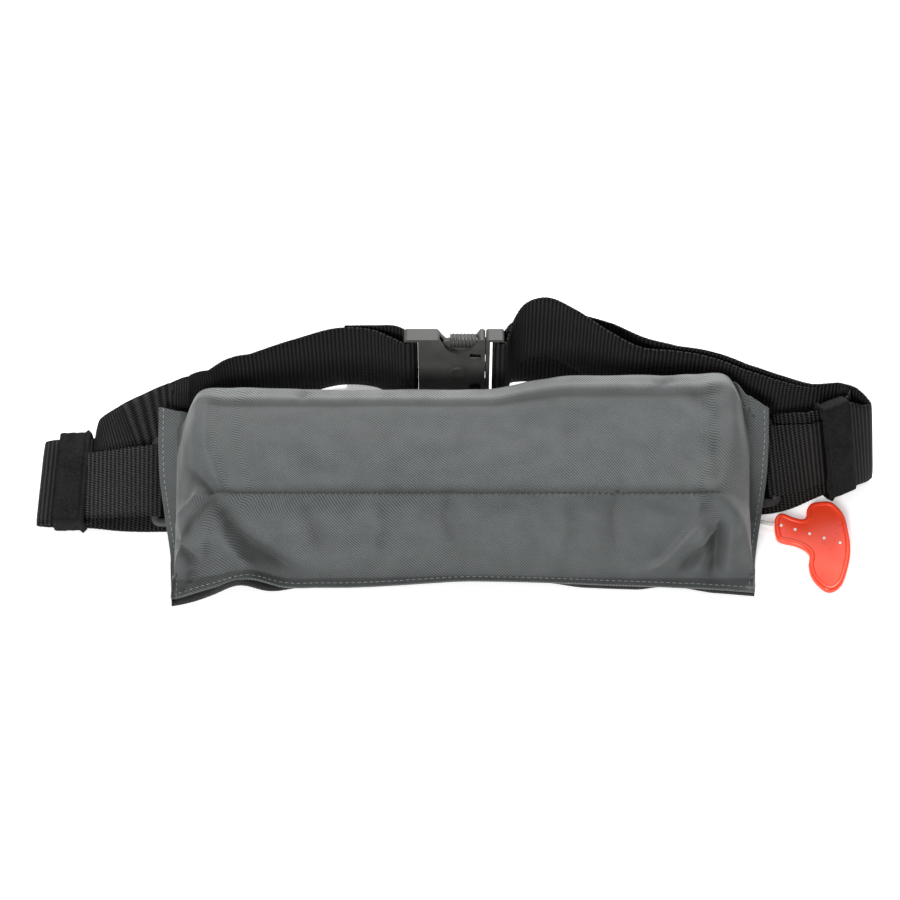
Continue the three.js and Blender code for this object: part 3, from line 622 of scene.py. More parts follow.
def keeper_piece(name, stations, place, front_height, rear_height, slack, ridge_side):
    """A loop with soft corners round the belt and the front strap on it, swept along the keeper's width."""
    low, across, normal, tangent, lean, turn = frame_at(stations, place)
    low = low + Vector((0, 0, webbing_thickness / 2 * normal.z))
    along = across.cross(normal)
    bottom = -webbing_thickness / 2 - slack
    far = webbing_width + 1.6 * slack
    corners = [(-slack, bottom), (far, bottom), (far, rear_height), (front_width, rear_height),
               (-slack, front_height)]
    loop = []
    count = len(corners)
    for number, corner in enumerate(corners):
        before, after = Vector(corners[number - 1]), Vector(corners[(number + 1) % count])
        corner = Vector(corner)
        soft = min(keeper_corner, (corner - before).length / 3, (after - corner).length / 3)
        a = corner + (before - corner).normalized() * soft
        b = corner + (after - corner).normalized() * soft
        for share in (0, 0.25, 0.5, 0.75, 1):
            loop.append(a * (1 - share) ** 2 + corner * 2 * share * (1 - share) + b * share**2)
        steps = max(1, int((after - b).length / keeper_point_step))
        target = after + (b - after).normalized() * keeper_corner
        for step in range(1, steps):
            loop.append(b.lerp(target, step / steps))
    rows = keeper_rows
    ring = len(loop)
    vertices, faces, uvs = [], [], []
    middle = sum(loop, Vector((0, 0))) / ring
    for layer in (0, 1):
        for row in range(rows + 1):
            share = row / rows * 2 - 1
            ridge = bell(1 - share * ridge_side, *keeper_ridge)
            hem = bell(abs(share), *keeper_hem)
            for number, point in enumerate(loop):
                ahead = loop[(number + 1) % ring] - loop[number - 1]
                outward = Vector((ahead.y, -ahead.x)).normalized()
                if outward.dot(point - middle) < 0:
                    outward.negate()
                wave = keeper_crumple * noise.noise(Vector((number * 0.35, row * 0.3, place)))
                edge = keeper_rounding * abs(share) ** 12
                out = (keeper_wall + ridge - hem / 2 + wave - edge) if layer == 0 else edge
                flat = point + outward * out
                place_point = low + across * flat.x + normal * flat.y + along * (share * keeper_width / 2)
                place_point.z = max(place_point.z, lowest_cloth)
                vertices.append(place_point)
                uvs.append((number * 0.1, row * 0.08))
    size = (rows + 1) * ring
    for row in range(rows):
        for k in range(ring):
            a, b = row * ring + k, row * ring + (k + 1) % ring
            faces.append((a, b, b + ring, a + ring))
            faces.append((size + a, size + a + ring, size + b + ring, size + b))
    for k in range(ring):
        a, b = k, (k + 1) % ring
        faces.append((a, size + a, size + b, b))
        a, b = rows * ring + k, rows * ring + (k + 1) % ring
        faces.append((a, b, size + b, size + a))
    return mesh_object(name, vertices, faces, uvs, keeper_cloth)


left_stations = stations_from(left_belt_stations, socket_bar, -left_reach)
under_keeper = 22.88
left_keeper = keeper_piece("left_keeper_band", left_stations, under_keeper, 7.7, 8.8, 1.6 * clear, 1)
right_keeper = keeper_piece("right_keeper_band", right_stations, in_keeper + 0.1, 4.7, 4.7, 2 * clear, -1)
for band, keeper_name in ((left_keeper, "left_keeper"), (right_keeper, "right_keeper")):
    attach(band, "root")
    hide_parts(keeper_name)


# Front cover: mid grey coated twill, sewn from a front panel and gussets and plumped up by the folded
# bladder. Its flange is sewn flat to the back panel, with a light topstitch just inside the edge.
pouch_half_depth = 55
pouch_height = 47
side_seam_inset = 13.5
cover_wall = 1.6
panel_thickness = 1.5
seam_gap = 2 * clear
flange_thickness = panel_thickness + seam_gap + cover_wall
front_corner_inset = 13
rear_corner_inset = 4
corner_turn = 0.3
# The rear corners ride up on the belt: where the rise starts, in mm from front to back, and its slope
ride_left = (-28.5, 0.48)
ride_right = (-20.8, 0.715)
ride_from = 108
ride_full = pouch_half_length - side_seam_inset
# From front to back, the underside climbs from the table onto the belt between these
belt_rise = (-35, -16)
# The front edge of the flange waves: height, place along the pouch and half width of each wave
flange_lift = 1.5
flange_waves = [(11, -110, 13), (3, 5, 42)]
waves_forward = (34, 52)
waves_left_end = (-142, -126)

# along, front edge, rear edge, as shares of the half length and the half depth
flange_columns = [
    (-1, -1.06, 0.64),
    (-0.914, -1.05, 0.59),
    (-0.86, -1.02, 0.59),
    (-0.8, -0.99, 0.68),
    (-0.73, -0.97, 0.85),
    (-0.6, -0.95, 0.95),
    (-0.3, -0.95, 0.96),
    (0, -0.91, 0.96),
    (0.3, -0.91, 0.96),
    (0.6, -0.94, 0.97),
    (0.76, -0.96, 0.95),
    (0.86, -0.98, 0.8),
    (0.914, -1.0, 0.63),
    (1, -1.03, 0.5),
]
# depth share, height share, half length share at the left and right end, side depth share, inset in mm
pouch_rows = [
    (None, 0, 0.9, 0.9, -1, 0),
    (-0.86, 0.04, 0.9, 0.9, -0.9, 0),
    (-0.72, 0.4, 0.89, 0.89, -0.68, 0),
    (-0.56, 0.76, 0.86, 0.86, -0.48, 0),
    (-0.4, 0.97, 0.79, 0.8, -0.3, 0),
    (0.1, 1.03, 0.85, 0.85, 0.02, 0),
    (0.6, 1, 0.85, 0.85, 0.28, -3),
    (0.73, 0.93, 0.84, 0.84, 0.4, -3),
    (0.83, 0.5, 0.83, 0.84, 0.47, 5.5),
    (0.89, 0.04, 0.83, 0.85, 0.52, 2),
    (None, 0, 0.83, 0.85, 0.6, 0),
]
# Share of the height and of the way out to the end of the body, for each column of a closed end
end_columns = 3
end_climb = (0, 0, 0.62, 1)
end_reach = (0, 0, 0.2, 1)
# The right half of the top edge is fuller than the left, by this much back and up
swell_reach = (10, 50)
swell_depth = (0.1, 0.6)
swell_height = (0.4, 0.9)
swell_back = 4.5
swell_up = 4.5
crease_row = 4
top_seam_row = 6
top_seam_line = 5.84
rear_seam_row = 9
inner_columns = 16
last_column = inner_columns + 2 * end_columns


def smooth_step(value, start, end):
    share = min(1, max(0, (value - start) / (end - start)))
    return share * share * (3 - 2 * share)


def mix(a, b, share):
    return a * (1 - share) + b * share


def panel_level(x, y):
    """Height of the underside of the pouch: it lies on the belt and rides up at its rear corners."""
    start, slope = ride_left if x < 0 else ride_right
    rise = max(0, (y - start) * slope) * smooth_step(abs(x), ride_from, ride_full)
    over_belt = webbing_thickness + clear
    waves = flange_lift + sum(bell(x, *wave) for wave in flange_waves)
    waves *= smooth_step(-y, *waves_forward) * smooth_step(x, *waves_left_end)
    return waves + clear + (over_belt - clear) * smooth_step(y, *belt_rise) + rise


def flange_edge(x, column):
    """Front (column 1) or rear (column 2) edge of the flange at a place along it."""
    along = x / pouch_half_length
    index = 0
    while index < len(flange_columns) - 2 and flange_columns[index + 1][0] < along:
        index += 1
    a, b = flange_columns[index], flange_columns[index + 1]
    share = min(1, max(0, (along - a[0]) / (b[0] - a[0])))
    return (a[column] * (1 - share) + b[column] * share) * pouch_half_depth


def side_edge(hand, y):
    """Where the edge of the flange lies at one end: it is drawn in more at the front corner."""
    forward = smooth_step(-y, -pouch_half_depth * corner_turn, pouch_half_depth)
    return hand * (pouch_half_length - mix(rear_corner_inset, front_corner_inset, forward))


def cover_point(row, column):
    """A point of the coarse net of the cover: flange, side gusset and body, from the rows above."""
    depth, height, left, right, side, inset = pouch_rows[row]
    end = min(column, last_column - column, end_columns)
    hand = -1 if column <= last_column / 2 else 1
    seam = pouch_half_length - side_seam_inset
    edge = 1 if row == 0 else 2 if depth is None else 0
    side_y = flange_edge(hand * seam, edge) if edge else side * pouch_half_depth
    up = 0
    if end == 0:
        x = side_edge(hand, side_y)
        y = flange_edge(x, edge) if edge else side_y
    else:
        share = (column - end_columns) / inner_columns
        span = mix(-pouch_half_length * left, pouch_half_length * right, share)
        climb = end_climb[end]
        out = end_reach[end]
        body_end = pouch_half_length * (left if hand < 0 else right)
        x = span if end == end_columns else mix(hand * seam, hand * body_end, out)
        full_y = flange_edge(x, edge) if edge else depth * pouch_half_depth
        y = mix(side_y, full_y, out)
        up = height * pouch_height * climb
        fuller = smooth_step(depth or 0, *swell_depth) * smooth_step(x, *swell_reach)
        fuller *= smooth_step(height, *swell_height)
        y += swell_back * fuller
        up += swell_up * fuller * climb
        if not edge:
            y = min(y, flange_edge(x, 2) - inset)
    return Vector((x, y, max(panel_level(x, y) + flange_thickness, up)))


def curve_point(before, a, b, after, share):
    """A point between a and b on the smooth curve through all four."""
    return 0.5 * (2 * a + (b - before) * share + (2 * before - 5 * a + 4 * b - after) * share**2
                  + (3 * a - before - 3 * b + after) * share**3)


def curve_through(points, breaks, steps):
    """Points on a smooth curve through the given ones, with a corner at each break."""
    line = []
    marks = sorted(set([0, len(points) - 1] + list(breaks)))
    for first, last in zip(marks, marks[1:]):
        for index in range(first, last):
            a, b = points[index], points[index + 1]
            before = points[index - 1] if index > first else 2 * a - b
            after = points[index + 2] if index + 2 <= last else 2 * b - a
            line.extend(curve_point(before, a, b, after, step / steps) for step in range(steps))
    line.append(points[-1].copy())
    return line


row_steps = 12
column_steps = 14
coarse = [[cover_point(row, column) for column in range(last_column + 1)] for row in range(len(pouch_rows))]
lengthwise = [curve_through(row, (1, last_column - 1), column_steps) for row in coarse]
columns_fine = len(lengthwise[0])
profiles = [
    curve_through([line[c] for line in lengthwise], (1, crease_row, top_seam_row, rear_seam_row), row_steps)
    for c in range(columns_fine)
]
rows_fine = len(profiles[0])
cover_grid = [[profiles[c][r] for c in range(columns_fine)] for r in range(rows_fine)]


def grid_normals(grid):
    normals = []
    for r, row in enumerate(grid):
        line = []
        for c in range(len(row)):
            along = row[min(c + 1, len(row) - 1)] - row[max(c - 1, 0)]
            up = grid[min(r + 1, len(grid) - 1)][c] - grid[max(r - 1, 0)][c]
            normal = along.cross(up)
            line.append(normal.normalized() if normal.length > 1e-6 else Vector((0, 0, 1)))
        normals.append(line)
    return normals


def near_line(point, line):
    """Distance from a point to a line of points, and how far along the line that is, as a share."""
    best, best_share = 1e9, 0
    for number, (a, b) in enumerate(zip(line, line[1:])):
        way = b - a
        share = min(1, max(0, (point - a).dot(way) / way.length_squared))
        distance = (point - a - way * share).length
        if distance < best:
            best, best_share = distance, (number + share) / (len(line) - 1)
    return best, best_share


# Seams sunk into the cover: row, depth in mm. Rows count as 9 mm apart, and a seam fades out between its ends
seam_grooves = [(crease_row, 1.0), (top_seam_line, 0.8)]
seam_row_spacing = 9
seam_width = 0.9
seam_shadow_width = 0.7
seam_ends = (132, 122)
# Above the flange the cloth is loose, from no part of it to all of it between these heights; then come the
# heights of its broad and its fine waves
loose_above = (0.5, 12)
broad_wave = 1.1
fine_wave = 0.35
# Grooves are pointed and ridges round; both fade to a share of their depth at their ends
groove_power = 1.25
ridge_power = 2
fold_end = 0.35
# Painted shade in each fold groove: its strength, and the fold depth in mm at which it is full
fold_shadow = 0.7
deep_fold = 4
# Painted light makes the top gusset brighter than the rest, from just behind its seam (in rows) and where its
# cloth is loose
gusset_behind_seam = (0.05, 0.2)
gusset_loose = (0.2, 0.8)
# Folds: name, depth in mm (positive is a groove), width in mm, then the points of the line
cover_folds = [
    ("left end, upper fold", 3.9, 2.4, [(-134, -7, 41), (-127, -17, 45), (-121, -24, 44)]),
    ("left end, curved fold", 5.4, 2.8,
     [(-121, -24, 44), (-127, -27, 40), (-133, -31, 35), (-136, -35, 29), (-141, -34, 19)]),
    ("left end, draped fold", 4.7, 3.4,
     [(-121, -24, 43), (-116, -29, 37), (-112, -34, 30), (-105, -38, 22), (-96, -41, 17), (-82, -45, 8)]),
    ("left end, ridge between the folds", -4.7, 4,
     [(-118, -32, 34), (-116, -37, 25), (-110, -41, 16), (-104, -45, 9)]),
    ("lower left hollow", 4.7, 3, [(-141, -35, 19), (-138, -40, 18), (-134, -42, 15), (-133, -44, 10)]),
    ("left mitre", 2.4, 1.5, [(-133, -45, 9), (-136, -49, 4), (-139, -54, 4)]),
    ("right dart", 6.5, 2.8, [(126, -31, 35), (125, -38, 22), (124, -46, 8)]),
    ("branch of the dart", 4.5, 3, [(125, -36, 26), (117, -40, 18), (108, -45, 9)]),
    ("right ridge", -4.5, 4.2, [(118, -22, 45), (111, -32, 34), (100, -39, 20), (88, -44, 11)]),
    ("right panel fold", 2.2, 2.2, [(123, 4, 48), (122, -7, 47), (121, -20, 46)]),
    ("wrinkle", 1.8, 3.6, [(-77, -24, 43), (-74, -31, 35), (-69, -39, 20)]),
    ("wrinkle", -1.9, 4.4, [(-45, -23, 44), (-42, -32, 33), (-46, -41, 16)]),
    ("wrinkle", 1.8, 3.8, [(-6, -22, 46), (-8, -30, 36), (-4, -38, 22)]),
    ("wrinkle", -1.8, 4.2, [(47, -20, 46), (50, -31, 35), (46, -41, 16)]),
    ("wrinkle", 1.9, 3.4, [(77, -19, 46), (73, -29, 38), (75, -38, 22)]),
    ("top wrinkle", 1.5, 3, [(-81, 32, 47), (-79, 38, 45)]),
    ("top wrinkle", 1.8, 3.4, [(96, 35, 51), (100, 38, 51), (104, 42, 49)]),
    ("left end, ridge above the curved fold", -3.0, 3.2, [(-128, -20, 44), (-134, -25, 39), (-140, -29, 30)]),
    ("left end, inner ridge", -2.6, 3.4, [(-124, -33, 36), (-128, -38, 27), (-130, -43, 15)]),
    ("right end, ridge", -3.2, 3.4, [(132, -30, 36), (131, -38, 22), (130, -46, 9)]),
    ("right end, inner ridge", -2.4, 3.6, [(118, -33, 31), (119, -40, 18), (115, -46, 9)]),
    ("left end, panel fold", 1.6, 2.6, [(-126, 24, 46), (-130, 8, 44), (-134, -6, 40)]),
    ("right end, upper fold", 1.8, 2.6, [(112, 30, 50), (121, 24, 49), (130, 14, 44)]),
]


def folded(grid):
    """The grid with its folds and seams pressed in, and the painted shade (below 0, painted light) of each
    point.
    """
    normals = grid_normals(grid)
    lines = [(depth, width, [Vector(p) for p in points]) for _, depth, width, points in cover_folds]
    result, shade = [], []
    for r, row in enumerate(grid):
        new_row, shade_row = [], []
        row_place = r / row_steps
        for c, point in enumerate(row):
            above = point.z - panel_level(point.x, point.y) - flange_thickness
            loose = smooth_step(above, *loose_above)
            push = 0.0
            dark = 0.0
            big = noise.noise(Vector((point.x * 0.022, point.y * 0.05, point.z * 0.05 + 3.1)))
            fine = noise.noise(Vector((point.x * 0.07 + point.z * 0.1, point.y * 0.12 - point.z * 0.08, 7.7)))
            push += loose * (broad_wave * big + fine_wave * fine)
            # Seams and folds are pressed in, and painted shade is laid in their grooves
            for seam_row, depth in seam_grooves:
                off = (row_place - seam_row) * seam_row_spacing
                inside = smooth_step(abs(point.x), *seam_ends)
                push -= inside * bell(off, depth, 0, seam_width)
                dark += inside * bell(off, depth, 0, seam_shadow_width)
            for depth, width, line in lines:
                distance, share = near_line(point, line)
                if distance < width * 3:
                    fade = min(1, 4 * share + fold_end, 4 * (1 - share) + fold_end)
                    power = groove_power if depth > 0 else ridge_power
                    groove = math.exp(-(distance / width) ** power) * fade
                    push -= depth * groove
                    if depth > 0:
                        dark += fold_shadow * groove * min(1, depth / deep_fold)
            new_row.append(point + normals[r][c] * push)
            # Painted light on the top gusset, held back where painted shade lies
            light = smooth_step(row_place - top_seam_line, *gusset_behind_seam)
            light *= smooth_step(loose, *gusset_loose)
            shade_row.append(min(1, dark) - light * max(0, 1 - 2 * dark))
        result.append(new_row)
        shade.append(shade_row)
    return result, shade


cover_grid, cover_shade = folded(cover_grid)


twill_pitch = 1.5
yarn_pitch = 0.7
# Painted light: the top gusset's colour is multiplied by this gain
painted_gusset_light_gain = (2.2, 2.12, 2.05, 1)
# Painted shadow colour, which folds and seams are mixed towards
painted_shadow_colour = (0.03, 0.032, 0.032, 1)


def twill_material():
    """A diagonal twill of mixed grey yarns with a dull coating; painted shade in folds and seams, painted
    light on the top gusset.
    """
    material, nodes, links, shader = make_material("grey_twill", 0.62)
    uv = nodes.new("ShaderNodeUVMap")
    uv.uv_map = "cloth"
    parts = nodes.new("ShaderNodeSeparateXYZ")
    links.new(uv.outputs["UV"], parts.inputs[0])
    slant = math_node(nodes, links, "ADD", parts.outputs[0], parts.outputs[1])
    across = math_node(nodes, links, "SUBTRACT", parts.outputs[0], parts.outputs[1])
    twill_turns = 2 * math.pi * mm_per_cm / twill_pitch
    yarn_turns = 2 * math.pi * mm_per_cm / yarn_pitch
    twill = math_node(nodes, links, "SINE", math_node(nodes, links, "MULTIPLY", slant, twill_turns))
    yarn = math_node(nodes, links, "SINE", math_node(nodes, links, "MULTIPLY", across, yarn_turns))
    fibre = noise_texture(nodes, links, 20, uv.outputs["UV"], detail=5)
    fibre.inputs["Roughness"].default_value = 0.7
    patches = noise_texture(nodes, links, 0.9, uv.outputs["UV"])
    weave = math_node(nodes, links, "MULTIPLY_ADD", yarn, 0.8, twill)
    mixed = math_node(nodes, links, "MULTIPLY_ADD", fibre.outputs["Fac"], 3.6, weave)
    mixed = math_node(nodes, links, "MULTIPLY_ADD", patches.outputs["Fac"], 1.2, mixed)
    ramp = colour_ramp(nodes, (0.014, 0.016, 0.016), (0.135, 0.147, 0.147), 0.2, 0.85)
    links.new(math_node(nodes, links, "MULTIPLY_ADD", mixed, 0.17, 0.1), ramp.inputs["Fac"])
    # Painted shade from the cover's points mixes the colour towards the painted shadow colour
    seam = nodes.new("ShaderNodeAttribute")
    seam.attribute_name = "painted_shade_and_light"
    painted_shadow_mix = nodes.new("ShaderNodeMix")
    painted_shadow_mix.data_type = "RGBA"
    links.new(math_node(nodes, links, "MAXIMUM", seam.outputs["Fac"], 0), painted_shadow_mix.inputs["Factor"])
    # Painted light multiplies the colour of the top gusset by its gain
    painted_light_mix = nodes.new("ShaderNodeMix")
    painted_light_mix.data_type = "RGBA"
    painted_light_mix.blend_type = "MULTIPLY"
    light_share = math_node(nodes, links, "MULTIPLY", seam.outputs["Fac"], -1)
    links.new(math_node(nodes, links, "MAXIMUM", light_share, 0), painted_light_mix.inputs["Factor"])
    links.new(ramp.outputs["Color"], painted_light_mix.inputs[6])
    painted_light_mix.inputs[7].default_value = painted_gusset_light_gain
    links.new(painted_light_mix.outputs[2], painted_shadow_mix.inputs[6])
    painted_shadow_mix.inputs[7].default_value = painted_shadow_colour
    links.new(painted_shadow_mix.outputs[2], shader.inputs["Base Color"])
    shader.inputs["Sheen Weight"].default_value = 0.22
    shader.inputs["Sheen Roughness"].default_value = 0.4
    shader.inputs["Specular IOR Level"].default_value = 0.35
    bump(nodes, links, shader, weave, 0.35, 0.0002)
    return material


def sheet_from_grid(name, grid, thickness, material, shade=None):
    """A sheet of cloth with its thickness below the grid, and a map in cm along and across."""
    rows, count = len(grid), len(grid[0])
    normals = grid_normals(grid)
    vertices, faces, uvs, values = [], [], [], []
    middle = rows // 2
    lengths = [0.0]
    for c in range(1, count):
        lengths.append(lengths[-1] + (grid[middle][c] - grid[middle][c - 1]).length)
    depths = [[0.0] * count]
    for r in range(1, rows):
        depths.append([depths[-1][c] + (grid[r][c] - grid[r - 1][c]).length for c in range(count)])
    for layer in (0, 1):
        for r in range(rows):
            for c in range(count):
                drop = normals[r][c] * (thickness * layer)
                vertices.append(grid[r][c] - drop)
                uvs.append((lengths[c] / mm_per_cm, depths[r][c] / mm_per_cm))
                values.append(shade[r][c] if shade else 0.0)
    size = rows * count
    for r in range(rows - 1):
        for c in range(count - 1):
            a, b, d, e = r * count + c, r * count + c + 1, (r + 1) * count + c + 1, (r + 1) * count + c
            faces.append((a, b, d, e))
            faces.append((size + a, size + e, size + d, size + b))
    for c in range(count - 1):
        faces.append((c, size + c, size + c + 1, c + 1))
        top = (rows - 1) * count + c
        faces.append((top, top + 1, size + top + 1, size + top))
    for r in range(rows - 1):
        a, b = r * count, (r + 1) * count
        faces.append((a, b, size + b, size + a))
        a, b = a + count - 1, b + count - 1
        faces.append((a, size + a, size + b, b))
    item = mesh_object(name, vertices, faces, uvs, material)
    attribute = item.data.attributes.new("painted_shade_and_light", "FLOAT", "POINT")
    attribute.data.foreach_set("value", values)
    return item


grey_twill = twill_material()
cover_cloth_thickness = 1.2
front_cover = sheet_from_grid("front_cover_twill", cover_grid, cover_cloth_thickness, grey_twill, cover_shade)
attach(front_cover, "root")
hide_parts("front_cover")


# Stitches of the cover: light topstitching just inside the edge of the flange, and dark thread along the
# crease seam. Each stitch is a short raised length of thread.
def thread_material(name, low, high):
    material, nodes, links, shader = make_material(name, 0.6)
    coordinates = nodes.new("ShaderNodeTexCoord")
    twist = noise_texture(nodes, links, 2500, coordinates.outputs["Object"])
    ramp = colour_ramp(nodes, low, high)
    paint(links, twist.outputs["Fac"], ramp, shader)
    bump(nodes, links, shader, twist.outputs["Fac"], 0.4, 0.0001)
    return material


def stitch_row(name, line, normals, stitch, space, radius, material):
    """Stitches along a line of points, each an eight-sided spindle lying on the cloth."""
    lengths = [0.0]
    for a, b in zip(line, line[1:]):
        lengths.append(lengths[-1] + (b - a).length)

    def at(distance):
        index = 0
        while index < len(lengths) - 2 and lengths[index + 1] < distance:
            index += 1
        share = (distance - lengths[index]) / max(1e-9, lengths[index + 1] - lengths[index])
        return line[index].lerp(line[index + 1], share), normals[index]

    vertices, faces = [], []
    place = space
    sides, sections = 8, (0.0, 0.12, 0.5, 0.88, 1.0)
    while place + stitch < lengths[-1]:
        start, normal = at(place)
        end, _ = at(place + stitch)
        way = (end - start).normalized()
        side = way.cross(normal).normalized()
        base = len(vertices)
        for share in sections:
            thick = radius * math.sqrt(max(0.05, 1 - (2 * share - 1) ** 6))
            lift = 0.6 * radius * math.sin(math.pi * share)
            for k in range(sides):
                angle = 2 * math.pi * k / sides
                vertices.append(start.lerp(end, share) + normal * (lift + thick * math.sin(angle))
                                + side * (thick * math.cos(angle)))
        for section in range(len(sections) - 1):
            for k in range(sides):
                a = base + section * sides + k
                b = base + section * sides + (k + 1) % sides
                faces.append((a, b, b + sides, a + sides))
        place += stitch + space
    return mesh_object(name, vertices, faces, None, material)


cover_normals = grid_normals(cover_grid)
light_thread = thread_material("light_thread", (0.19, 0.2, 0.2), (0.3, 0.31, 0.31))
dark_thread = thread_material("dark_thread", (0.01, 0.01, 0.01), (0.03, 0.03, 0.03))


def inside_edge(first, second, distance):
    """A line at a distance inside an edge, from the edge's points and those of the next line."""
    return [a + (b - a).normalized() * distance for a, b in zip(first, second)]


front_stitch_inset = 2.2
side_stitch_inset = 2.4
half_column = column_steps // 2
first_body_column = end_columns * column_steps
front_line = inside_edge(cover_grid[0], cover_grid[row_steps // 2], front_stitch_inset)
left_line = inside_edge([row[0] for row in cover_grid], [row[half_column] for row in cover_grid],
                        side_stitch_inset)
right_line = inside_edge([row[-1] for row in cover_grid], [row[-half_column] for row in cover_grid],
                         side_stitch_inset)
crease_line = cover_grid[crease_row * row_steps][first_body_column:-first_body_column]
crease_normals = cover_normals[crease_row * row_steps][first_body_column:]
# name, line, normals, length of a stitch, space between stitches, radius of the thread, thread
stitch_rows = [
    ("front_topstitch", front_line, cover_normals[0], 1.9, 1.1, 0.2, light_thread),
    ("left_topstitch", left_line, [row[0] for row in cover_normals], 1.9, 1.1, 0.2, light_thread),
    ("right_topstitch", right_line, [row[-1] for row in cover_normals], 1.9, 1.1, 0.2, light_thread),
    ("crease_stitches", crease_line, crease_normals, 2.2, 0.7, 0.3, dark_thread),
]
for stitch_name, *stitch_facts in stitch_rows:
    stitches = stitch_row(stitch_name, *stitch_facts)
    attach(stitches, "root")
    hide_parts("front_cover")


# Back panel: black backing cloth below the cover. Its edge shows as a thin dark line along the front, and
# more at the left corner, where the cover curls up.
def backing_material():
    material, nodes, links, shader = make_material("backing_cloth", 0.85)
    coordinates = nodes.new("ShaderNodeTexCoord")
    weave = noise_texture(nodes, links, 900, coordinates.outputs["Object"], detail=4)
    ramp = colour_ramp(nodes, (0.006, 0.006, 0.006), (0.024, 0.024, 0.024))
    paint(links, weave.outputs["Fac"], ramp, shader)
    bump(nodes, links, shader, weave.outputs["Fac"], 0.4, 0.0002)
    return material


# How far the panel reaches past the front edge of the cover, in mm. It is short of it in the middle, and each
# gain is an amount and from where to where it grows, away from the middle; the last one fades again
panel_short = -1.8
panel_left_gain = (4.4, (78, 100))
panel_right_gain = (2.4, (105, 125))
panel_patch_gain = (2.2, (40, 60), (100, 85))
panel_rows = 48


def panel_past(x):
    left, left_growth = panel_left_gain
    right, right_growth = panel_right_gain
    patch, patch_growth, patch_fade = panel_patch_gain
    past = panel_short + left * smooth_step(-x, *left_growth) + right * smooth_step(x, *right_growth)
    return past + patch * smooth_step(x, *patch_growth) * smooth_step(x, *patch_fade)


def panel_grid():
    """The panel follows the edges of the cover and lies below it by the gap of the seam."""
    front, rear = cover_grid[0], cover_grid[-1]
    grid = []
    for r in range(panel_rows + 1):
        share = r / panel_rows
        line = []
        for c in range(0, columns_fine, 2):
            start = Vector((front[c].x, front[c].y - panel_past(front[c].x), 0))
            end = Vector((rear[c].x, rear[c].y, 0))
            point = start.lerp(end, share)
            if c == 0 or c == columns_fine - 1:
                point.x = side_edge(math.copysign(1, point.x), point.y)
            point.z = panel_level(point.x, point.y) + panel_thickness
            line.append(point)
        grid.append(line)
    return grid


panel_cloth_thickness = 1.4
back_panel = sheet_from_grid("back_panel_cloth", panel_grid(), panel_cloth_thickness, backing_material())
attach(back_panel, "root")
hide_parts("back_panel")


# Folded bladder: a coated cloth bladder, folded flat inside the cover. It doesn't show, and its form is a
# guess.
bladder_pull = 2.0
bladder_weld = 0.05


def bladder_material():
    material, nodes, links, shader = make_material("bladder_film", 0.5)
    coordinates = nodes.new("ShaderNodeTexCoord")
    film = noise_texture(nodes, links, 60, coordinates.outputs["Object"], detail=5)
    ramp = colour_ramp(nodes, (0.6, 0.22, 0.02), (0.75, 0.32, 0.04))
    paint(links, film.outputs["Fac"], ramp, shader)
    bump(nodes, links, shader, film.outputs["Fac"], 0.5, 0.002)
    return material


def folded_bladder():
    """The plain solid, welded and divided, with its surface pulled in unevenly."""
    shape = bmesh.new()
    shape.from_mesh(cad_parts["folded_bladder"].data)
    bmesh.ops.remove_doubles(shape, verts=shape.verts, dist=bladder_weld * mm)
    bmesh.ops.subdivide_edges(shape, edges=shape.edges, cuts=1, use_grid_fill=True)
    shape.normal_update()
    for vertex in shape.verts:
        place = vertex.co / mm
        crumple = 0.5 + 0.5 * noise.noise(Vector((place.x * 0.04, place.y * 0.12, place.z * 0.25)))
        vertex.co -= vertex.normal * (bladder_pull * crumple * mm)
    mesh = bpy.data.meshes.new("folded_bladder_cloth")
    shape.to_mesh(mesh)
    shape.free()
    mesh.materials.append(bladder_material())
    item = bpy.data.objects.new("folded_bladder_cloth", mesh)
    bpy.context.collection.objects.link(item)
    return item


bladder = folded_bladder()
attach(bladder, "root")
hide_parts("folded_bladder")


# Buckle: a moulded side-release buckle of black plastic for 50 mm webbing, standing on its edge. The plug
# half's two arms show in the curved cut-outs of the socket half.
def moulded(node, width):
    """The CAD shape stays; its edges get the small radius of a moulding."""
    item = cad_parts[node]
    item.data.materials.clear()
    item.data.materials.append(black_plastic)
    weld = item.modifiers.new("weld", "WELD")
    weld.merge_threshold = 0.00002
    rounding = item.modifiers.new("edges", "BEVEL")
    rounding.width = width * mm
    rounding.segments = 2
    rounding.limit_method = "ANGLE"
    rounding.angle_limit = math.radians(35)
    rounding.harden_normals = False
    return item


socket_edge_width = 0.5
plug_edge_width = 0.4
moulded("buckle_socket", socket_edge_width)
moulded("buckle_plug", plug_edge_width)

buckle_front = 60
mark_place = Vector((-2.5, buckle_front + 0.05, 30))
mark_radius = 4.2
mark_height = 0.5
mark_sides = 40


def disc(name, place, radius, height, sides, material):
    """A low round boss with a raised rim, facing the front; its profile is shares of radius and height."""
    vertices, faces = [], []
    profile = [(1.0, 0.0), (1.0, 0.7), (0.88, 1.0), (0.7, 1.0), (0.62, 0.45), (0.0, 0.4)]
    for share, up in profile[:-1]:
        for k in range(sides):
            angle = 2 * math.pi * k / sides
            vertices.append(place + Vector((radius * share * math.cos(angle), -height * up,
                                            radius * share * math.sin(angle))))
    vertices.append(place + Vector((0, -height * profile[-1][1], 0)))
    rings = len(profile) - 1
    for ring_number in range(rings - 1):
        for k in range(sides):
            a, b = ring_number * sides + k, ring_number * sides + (k + 1) % sides
            faces.append((a, b, b + sides, a + sides))
    last = (rings - 1) * sides
    for k in range(sides):
        faces.append((last + k, last + (k + 1) % sides, len(vertices) - 1))
    return mesh_object(name, vertices, faces, None, material)


round_mark = disc("buckle_round_mark", mark_place, mark_radius, mark_height, mark_sides, black_plastic)
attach(round_mark, "root")


press_half_length = 6.5
press_front = 61.4
press_depth = 5
press_ribs = 7
press_rib_height = 0.35


